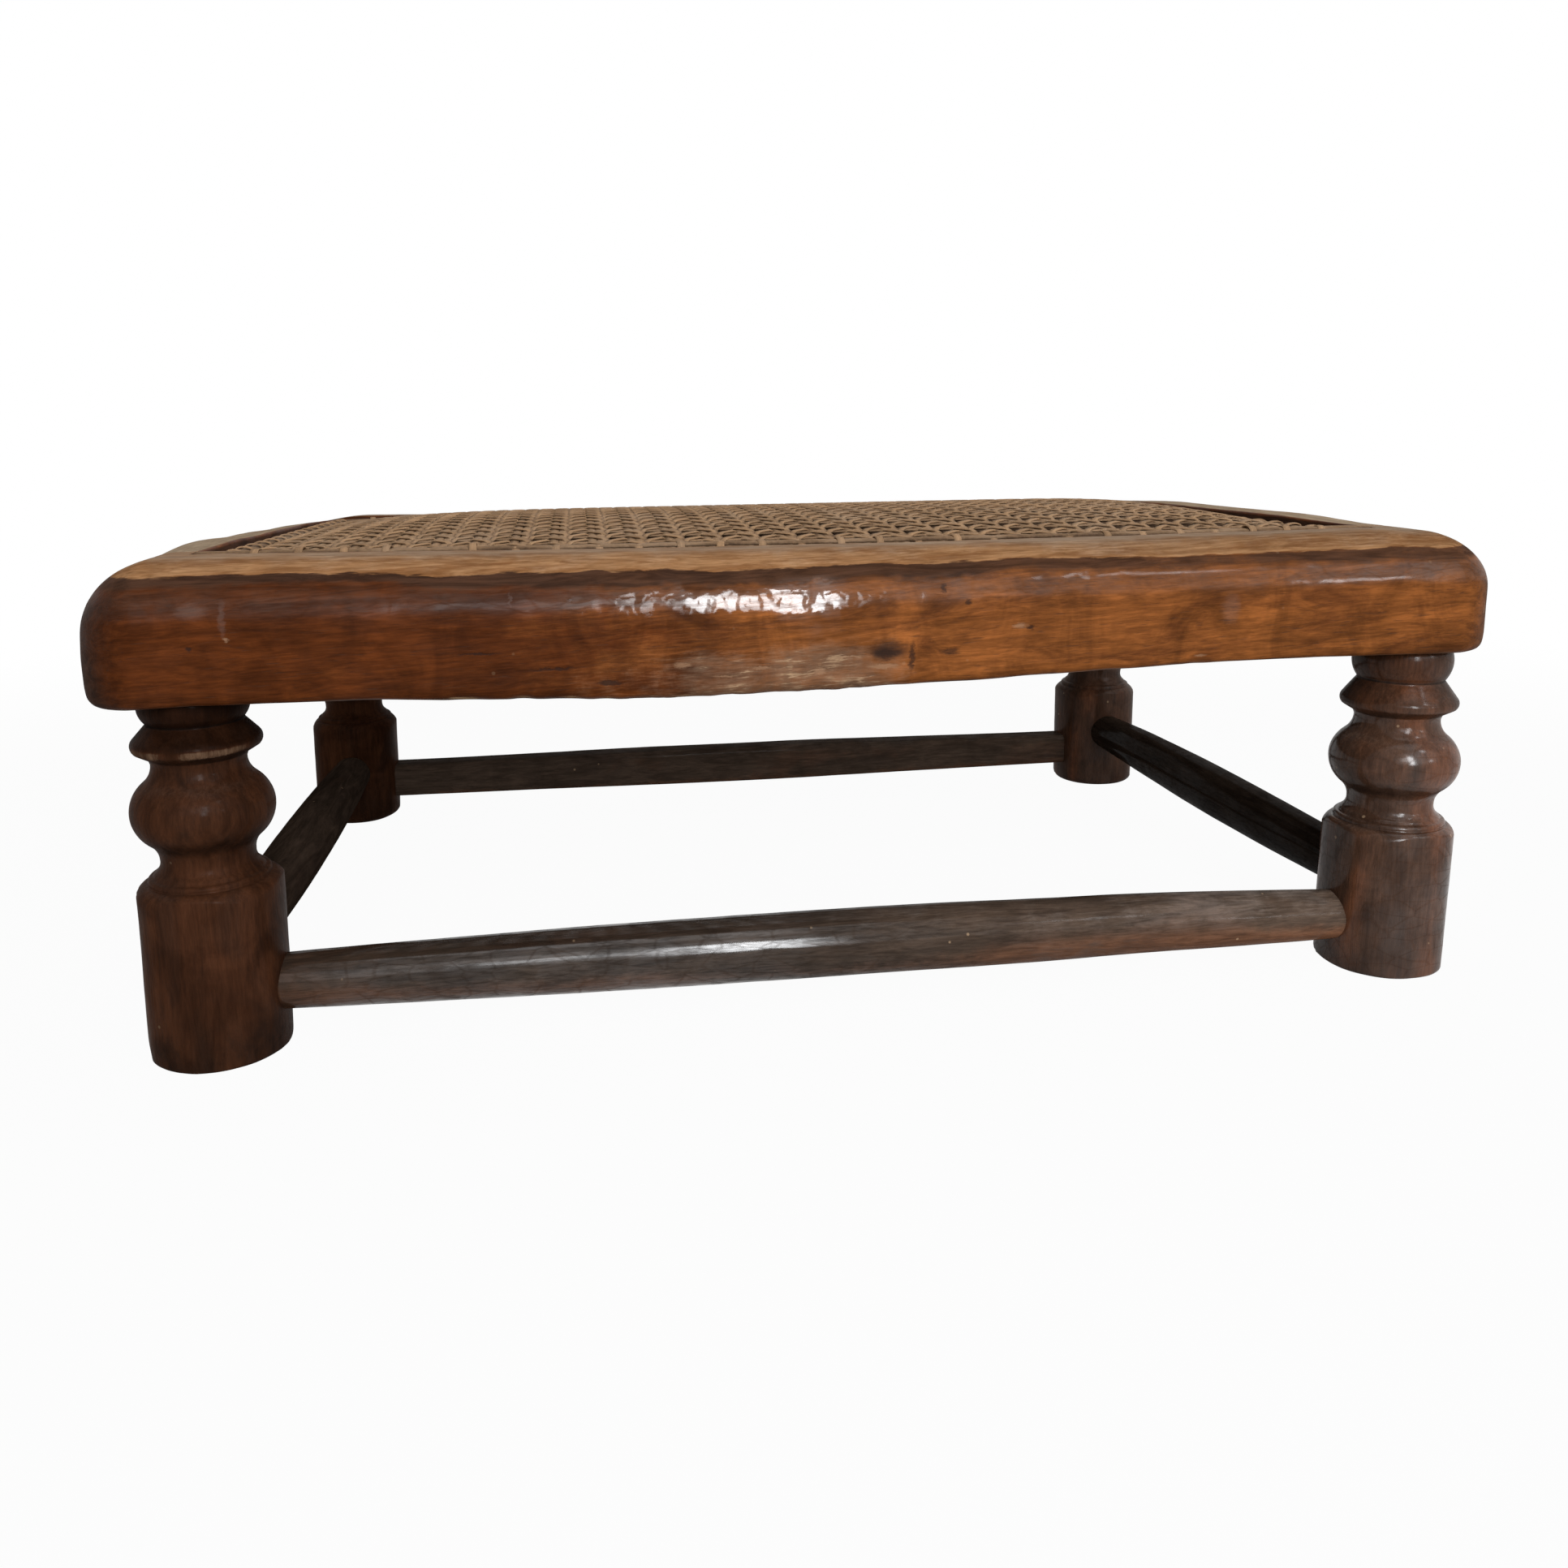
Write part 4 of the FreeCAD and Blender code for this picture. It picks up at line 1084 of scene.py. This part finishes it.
def straightStrands(name, along, across, places, crossings, first, seed):
    # pairs of strands that run one way, over and under the pairs that cross them by turns
    bm, layers = strandMesh()
    draw = random.Random(seed)
    upright = along.y > 0.0
    start = frontLine if upright else leftLine
    length = -2.0 * start
    pitch = crossings[1] - crossings[0]
    gap = caneSeat["pairGap"] / 2
    for number, fixed in enumerate(places):
        for half in (-1, 1):
            drift = draw.uniform(-1.0, 1.0) * caneSeat["sway"]
            phase = draw.uniform(0.0, 50.0)

            def centreAt(run):
                moving = start + run * length
                edge = min(moving - start, -start - moving)
                spread = 0.55 + 0.45 * smoothStep(1.0 * mm, 7.0 * mm, edge)
                sway = drift * math.sin(math.pi * run)
                sway += 0.25 * mm * wobble(across * phase + along * moving, 40.0 * mm, seed - 2)
                sway *= smoothStep(0.0, 12.0 * mm, edge)
                crossing = nearest(moving, crossings[0], pitch, len(crossings))
                over = bumpAt(moving, crossing - gap) - bumpAt(moving, crossing + gap)
                height = (half if upright else -half) * over * caneSeat["weave"]
                x, y = (fixed, moving) if upright else (moving, fixed)
                place = along * moving + across * (fixed + half * gap * spread + sway)
                place.z = bed + height + swellAt(x, y) + dive(edge)
                return place, height - (shadeBehindLand(y) if upright else 0.0)

            strip = first + number * 2 + (half > 0)
            layStrand(bm, layers, strip, length, centreAt, across, caneSeat["strandWidth"])
    addCane(bm, name, caneSeat["strandThick"], "cane_panel")


def slantStrands(name, slope, over, seed):
    # diagonals pass midway between the holes of the net, over one set of pairs and under the other
    bm, layers = strandMesh()
    draw = random.Random(seed)
    halfX = (caneSeat["columns"] + 1) / 2
    halfY = (caneSeat["rows"] + 1) / 2
    reach = int(halfX + halfY)
    direction = Vector((pitchX, slope * pitchY, 0.0)).normalized()
    across = Vector((direction.y, -direction.x, 0.0)) * slope
    for line in range(-reach, reach + 1):
        lowX = max(-halfX, line - halfY)
        highX = min(halfX, line + halfY)
        if highX - lowX < 0.9:
            continue
        length = (highX - lowX) * math.hypot(pitchX, pitchY)
        phase = draw.uniform(0.0, 50.0)

        def centreAt(run):
            cellX = lowX + (highX - lowX) * run
            cellY = slope * (cellX - line)
            edgeX = (halfX - abs(cellX)) * pitchX
            edgeY = (halfY - abs(cellY)) * pitchY
            edge = min(edgeX, edgeY)
            wave = math.tanh(4.0 * math.cos(fullTurn * (cellX - 0.5))) / math.tanh(4.0)
            height = over * wave * caneSeat["slant"] * smoothStep(0.5 * mm, 5.0 * mm, edge)
            sway = 0.3 * mm * wobble(Vector((phase, cellX, cellY)), 2.5, 3) * smoothStep(0.0, 12.0 * mm, edge)
            # the last stretch bends aside to reach a hole
            bend = 0.5 * (1.0 - smoothStep(0.0, 9.0 * mm, edge))
            x, y = cellX * pitchX, cellY * pitchY
            if edgeY < edgeX:
                x -= math.copysign(bend * pitchX, cellY * slope)
            else:
                y -= math.copysign(bend * pitchY, cellX * slope)
            z = bed + height + swellAt(x, y) + dive(edge)
            return Vector((x, y, z)) + across * sway, height - shadeBehindLand(y)

        strip = caneSeat["slantFirst"][slope] + line + reach
        width = caneSeat["strandWidth"] * caneSeat["slantShare"]
        layStrand(bm, layers, strip, length, centreAt, across, width)
    addCane(bm, name, caneSeat["strandThick"], "cane_panel")


straightStrands("cane_uprights", back, right, columnPlaces, rowPlaces, 0, 3)
straightStrands("cane_crossings", right, back, rowPlaces, columnPlaces, caneSeat["crossFirst"], 4)
slantStrands("cane_slants_right", 1, -1, 5)
slantStrands("cane_slants_left", -1, 1, 6)
print("cane net done")


edging = {
    "width": 4.6 * mm,
    "thick": 0.75 * mm,
    "crown": 0.5 * mm,
    "step": 1.4 * mm,
    "pinch": 0.22 * mm,        # how far a tie presses the binder down
    "tieWidth": 2.2 * mm,
    "tieThick": 0.4 * mm,
    "tieReach": 3.3 * mm,      # from the middle of the binder to where a tie goes down
    "tieDrop": 2.2 * mm,
    "tieLean": 0.5 * mm,
    "frontRaise": 2.0 * mm,    # the front binder sits a little proud of the others
    "laceDrop": 0.3 * mm,      # gap between the underside of a rail and a lace below it
    "laceEnd": 1.4 * mm,       # how far the ends of a lace go up into their holes
    # strand numbers, as for the net
    "binderFirst": 300,
    "tieFirst": 320,
    "laceFirst": 360,
}


def raised(side):
    return edging["frontRaise"] if side == "front" else 0.0


def binderStrip(side, along, across, places):
    bm, layers = strandMesh()
    nodeName = side + "_cane_binder"
    low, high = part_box(nodeName)
    centre = (low + high) / 2
    length = (high - low).dot(along)
    pitch = abs(places[1] - places[0])

    def shape(u, run):
        place = (run - 0.5) * length
        held = bumpAt(place, nearest(place, places[0], pitch, len(places)))
        wander = 0.22 * mm * wobble(Vector((place, 0.0, 0.0)), 30.0 * mm, 8)
        flat = centre + along * place + across * (u * edging["width"] / 2 * (1.0 - 0.1 * held) + wander)
        z = high.z - edging["crown"] * u * u - edging["pinch"] * held + sunk(flat.x, flat.y) + raised(side)
        z += 0.1 * mm * wobble(Vector((place, 5.0, 0.0)), 12.0 * mm, 9)
        mark = stripMark(edging["binderFirst"], u, place / mm)
        # the binder is painted lighter along its crown and darker towards its edges: painted highlight and
        # painted shade
        return Vector((flat.x, flat.y, z)), 0.75 - 0.35 * abs(u), mark

    layGrid(bm, layers, 4, round(length / edging["step"]), shape)
    addCane(bm, side + "_cane_edging", edging["thick"], nodeName)


def tieLoops(side, along, across, places, seed):
    bm, layers = strandMesh()
    nodeName = side + "_cane_ties"
    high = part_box(nodeName)[1]
    centre = middleOf(side + "_cane_binder")
    draw = random.Random(seed)
    for index, place in enumerate(places):
        lean = draw.uniform(-1.0, 1.0) * edging["tieLean"]
        lifted = raised(side) * draw.uniform(0.2, 1.15)

        def shape(u, run):
            over = 2.0 * run - 1.0
            rise = math.sqrt(max(1.0 - abs(over) ** 2.6, 0.0))
            flat = centre + along * (place + u * edging["tieWidth"] / 2 + lean * over)
            flat += across * over * edging["tieReach"]
            z = high.z + lifted - (edging["tieDrop"] + lifted) * (1.0 - rise)
            z += 0.12 * mm * (1.0 - u * u) + sunk(flat.x, flat.y)
            mark = stripMark(edging["tieFirst"] + index, u, over * 4.0)
            # a tie is painted darker where it goes down into its hole: painted shade
            return Vector((flat.x, flat.y, z)), 0.35 + 0.5 * rise, mark

        layGrid(bm, layers, 2, 8, shape)
    addCane(bm, side + "_cane_loops", edging["tieThick"], nodeName)


def underLaces(side, along, across, places, seed):
    # the strands go from hole to hole under the rail
    bm, layers = strandMesh()
    centre = middleOf(side + "_cane_binder")
    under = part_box(side + "_seat_rail")[0].z - edging["laceDrop"]
    draw = random.Random(seed)
    for index, (start, end) in enumerate(zip(places, places[1:])):
        lean = draw.uniform(-1.0, 1.0) * edging["tieLean"]

        def shape(u, run):
            flat = centre + along * (start + (end - start) * run)
            flat += across * (u * edging["tieWidth"] / 2 + lean * (2.0 * run - 1.0))
            hang = smoothStep(0.0, 0.2, min(run, 1.0 - run))
            mark = stripMark(edging["laceFirst"] + index, u, run * 8.0)
            # a lace is painted darker where it rises into its holes: painted shade
            return Vector((flat.x, flat.y, under + edging["laceEnd"] * (1.0 - hang))), 0.3 + 0.3 * hang, mark

        layGrid(bm, layers, 2, 6, shape)
    addCane(bm, side + "_cane_laces", edging["tieThick"])


for seed, (side, along, across, places) in enumerate((
        ("front", right, back, columnPlaces), ("back", right, back, columnPlaces),
        ("left", back, right, rowPlaces), ("right", back, right, rowPlaces)), start=20):
    binderStrip(side, along, across, places)
    tieLoops(side, along, across, places, seed)
    underLaces(side, along, across, places, seed + 10)
print("cane edging done")


# Stage, light and camera

studio = {
    "floorColour": (0.4, 0.4, 0.4, 1.0),
    "floorSize": 6.0,
    "whiten": 0.96,            # share of plain white that the camera sees on the floor by the stool
    "plainFrom": (0.35, 0.9),  # distances over which the floor clears to plain white
    "daylight": (0.95, 0.975, 1.0),
    "room": 0.2,               # even light from all round
    "aim": (0.0, 0.0, 0.1),
    "lamps": {                 # place, width and height, watts
        "window": ((0.135, -1.25, 0.58), (0.2, 0.6), 10.5),
        "glance": ((-0.12, -1.25, 0.62), (0.3, 0.25), 1.4),
        "spark": ((1.0, -1.35, 1.65), (0.22, 0.22), 2.5),
        "glint": ((1.05, -1.35, 0.58), (0.16, 0.12), 1.0),
        "panel": ((0.4, -1.9, 1.2), (3.4, 1.4), 17.5),
        "ceiling": ((0.3, -0.2, 1.5), (1.4, 1.2), 6.0),
    },
}
white = (1.0, 1.0, 1.0, 1.0)


def seenDirectly(tree):
    path = addNode(tree, "ShaderNodeLightPath").outputs
    seen = calc(tree, "MAXIMUM", path["Is Camera Ray"], path["Is Glossy Ray"])
    return calc(tree, "MAXIMUM", seen, path["Is Transmission Ray"])


def paleFloor():
    bm = bmesh.new()
    bmesh.ops.create_circle(bm, cap_ends=True, segments=96, radius=studio["floorSize"])
    floor = toObject(bm, "floor")
    material, tree, shader = newMaterial("floor")
    shader.inputs["Base Color"].default_value = studio["floorColour"]
    shader.inputs["Roughness"].default_value = 1.0
    shader.inputs["Specular IOR Level"].default_value = 0.0
    bright = addNode(tree, "ShaderNodeEmission", {"Color": white, "Strength": 1.0})
    place = addNode(tree, "ShaderNodeTexCoord").outputs["Object"]
    away = vectorCalc(tree, "LENGTH", place, (0.0, 0.0, 0.0), "Value")
    clear = remap(tree, away, *studio["plainFrom"], studio["whiten"], 1.0)
    share = calc(tree, "MULTIPLY", seenDirectly(tree), clear)
    mixed = addNode(tree, "ShaderNodeMixShader", {0: share, 1: shader.outputs[0], 2: bright.outputs[0]})
    # the floor is clear from below, so that the underside can be looked at
    below = addNode(tree, "ShaderNodeNewGeometry").outputs["Backfacing"]
    clearGlass = addNode(tree, "ShaderNodeBsdfTransparent")
    mixed = addNode(tree, "ShaderNodeMixShader", {0: below, 1: mixed.outputs[0], 2: clearGlass.outputs[0]})
    tree.links.new(mixed.outputs[0], tree.nodes["Material Output"].inputs["Surface"])
    floor.data.materials.append(material)


def whiteRoom():
    world = bpy.data.worlds.new("room")
    world.use_nodes = True
    tree = world.node_tree
    background = tree.nodes["Background"]
    background.inputs["Color"].default_value = white
    strength = remap(tree, seenDirectly(tree), 0.0, 1.0, studio["room"], 1.0)
    tree.links.new(strength, background.inputs["Strength"])
    scene.world = world


def addLamp(name, place, size, watts):
    lamp = bpy.data.lights.new(name, "AREA")
    lamp.shape = "RECTANGLE"
    lamp.size, lamp.size_y = size
    lamp.energy = watts
    lamp.color = studio["daylight"]
    holder = bpy.data.objects.new(name, lamp)
    scene.collection.objects.link(holder)
    holder.location = place
    aim = Vector(studio["aim"]) - holder.location
    holder.rotation_euler = aim.to_track_quat("-Z", "Y").to_euler()


photoView = {
    "lens": 28.03,
    "shift": (0.0206, -0.0622),
    "place": (-70.6, -457.7, 166.4),          # millimetres
    "yaw": 7.932,                             # degrees to the right of straight ahead
    "pitch": 11.091,                          # degrees down
    "roll": 0.726,
}


def addCamera():
    data = bpy.data.cameras.new("photo_view")
    data.lens = photoView["lens"]
    data.sensor_width = 36.0
    data.shift_x, data.shift_y = photoView["shift"]
    data.clip_start = 0.01
    camera = bpy.data.objects.new("photo_view", data)
    scene.collection.objects.link(camera)
    place = Matrix.Translation(Vector(photoView["place"]) * mm)
    turn = Matrix.Rotation(-math.radians(photoView["yaw"]), 4, "Z")
    tip = Matrix.Rotation(math.radians(90.0 - photoView["pitch"]), 4, "X")
    camera.matrix_world = place @ turn @ tip @ Matrix.Rotation(-math.radians(photoView["roll"]), 4, "Z")
    scene.camera = camera


paleFloor()
whiteRoom()
for lampName, look in studio["lamps"].items():
    addLamp(lampName, *look)
addCamera()
scene.view_settings.view_transform = "Standard"
print("stage done")

bpy.context.view_layer.update()
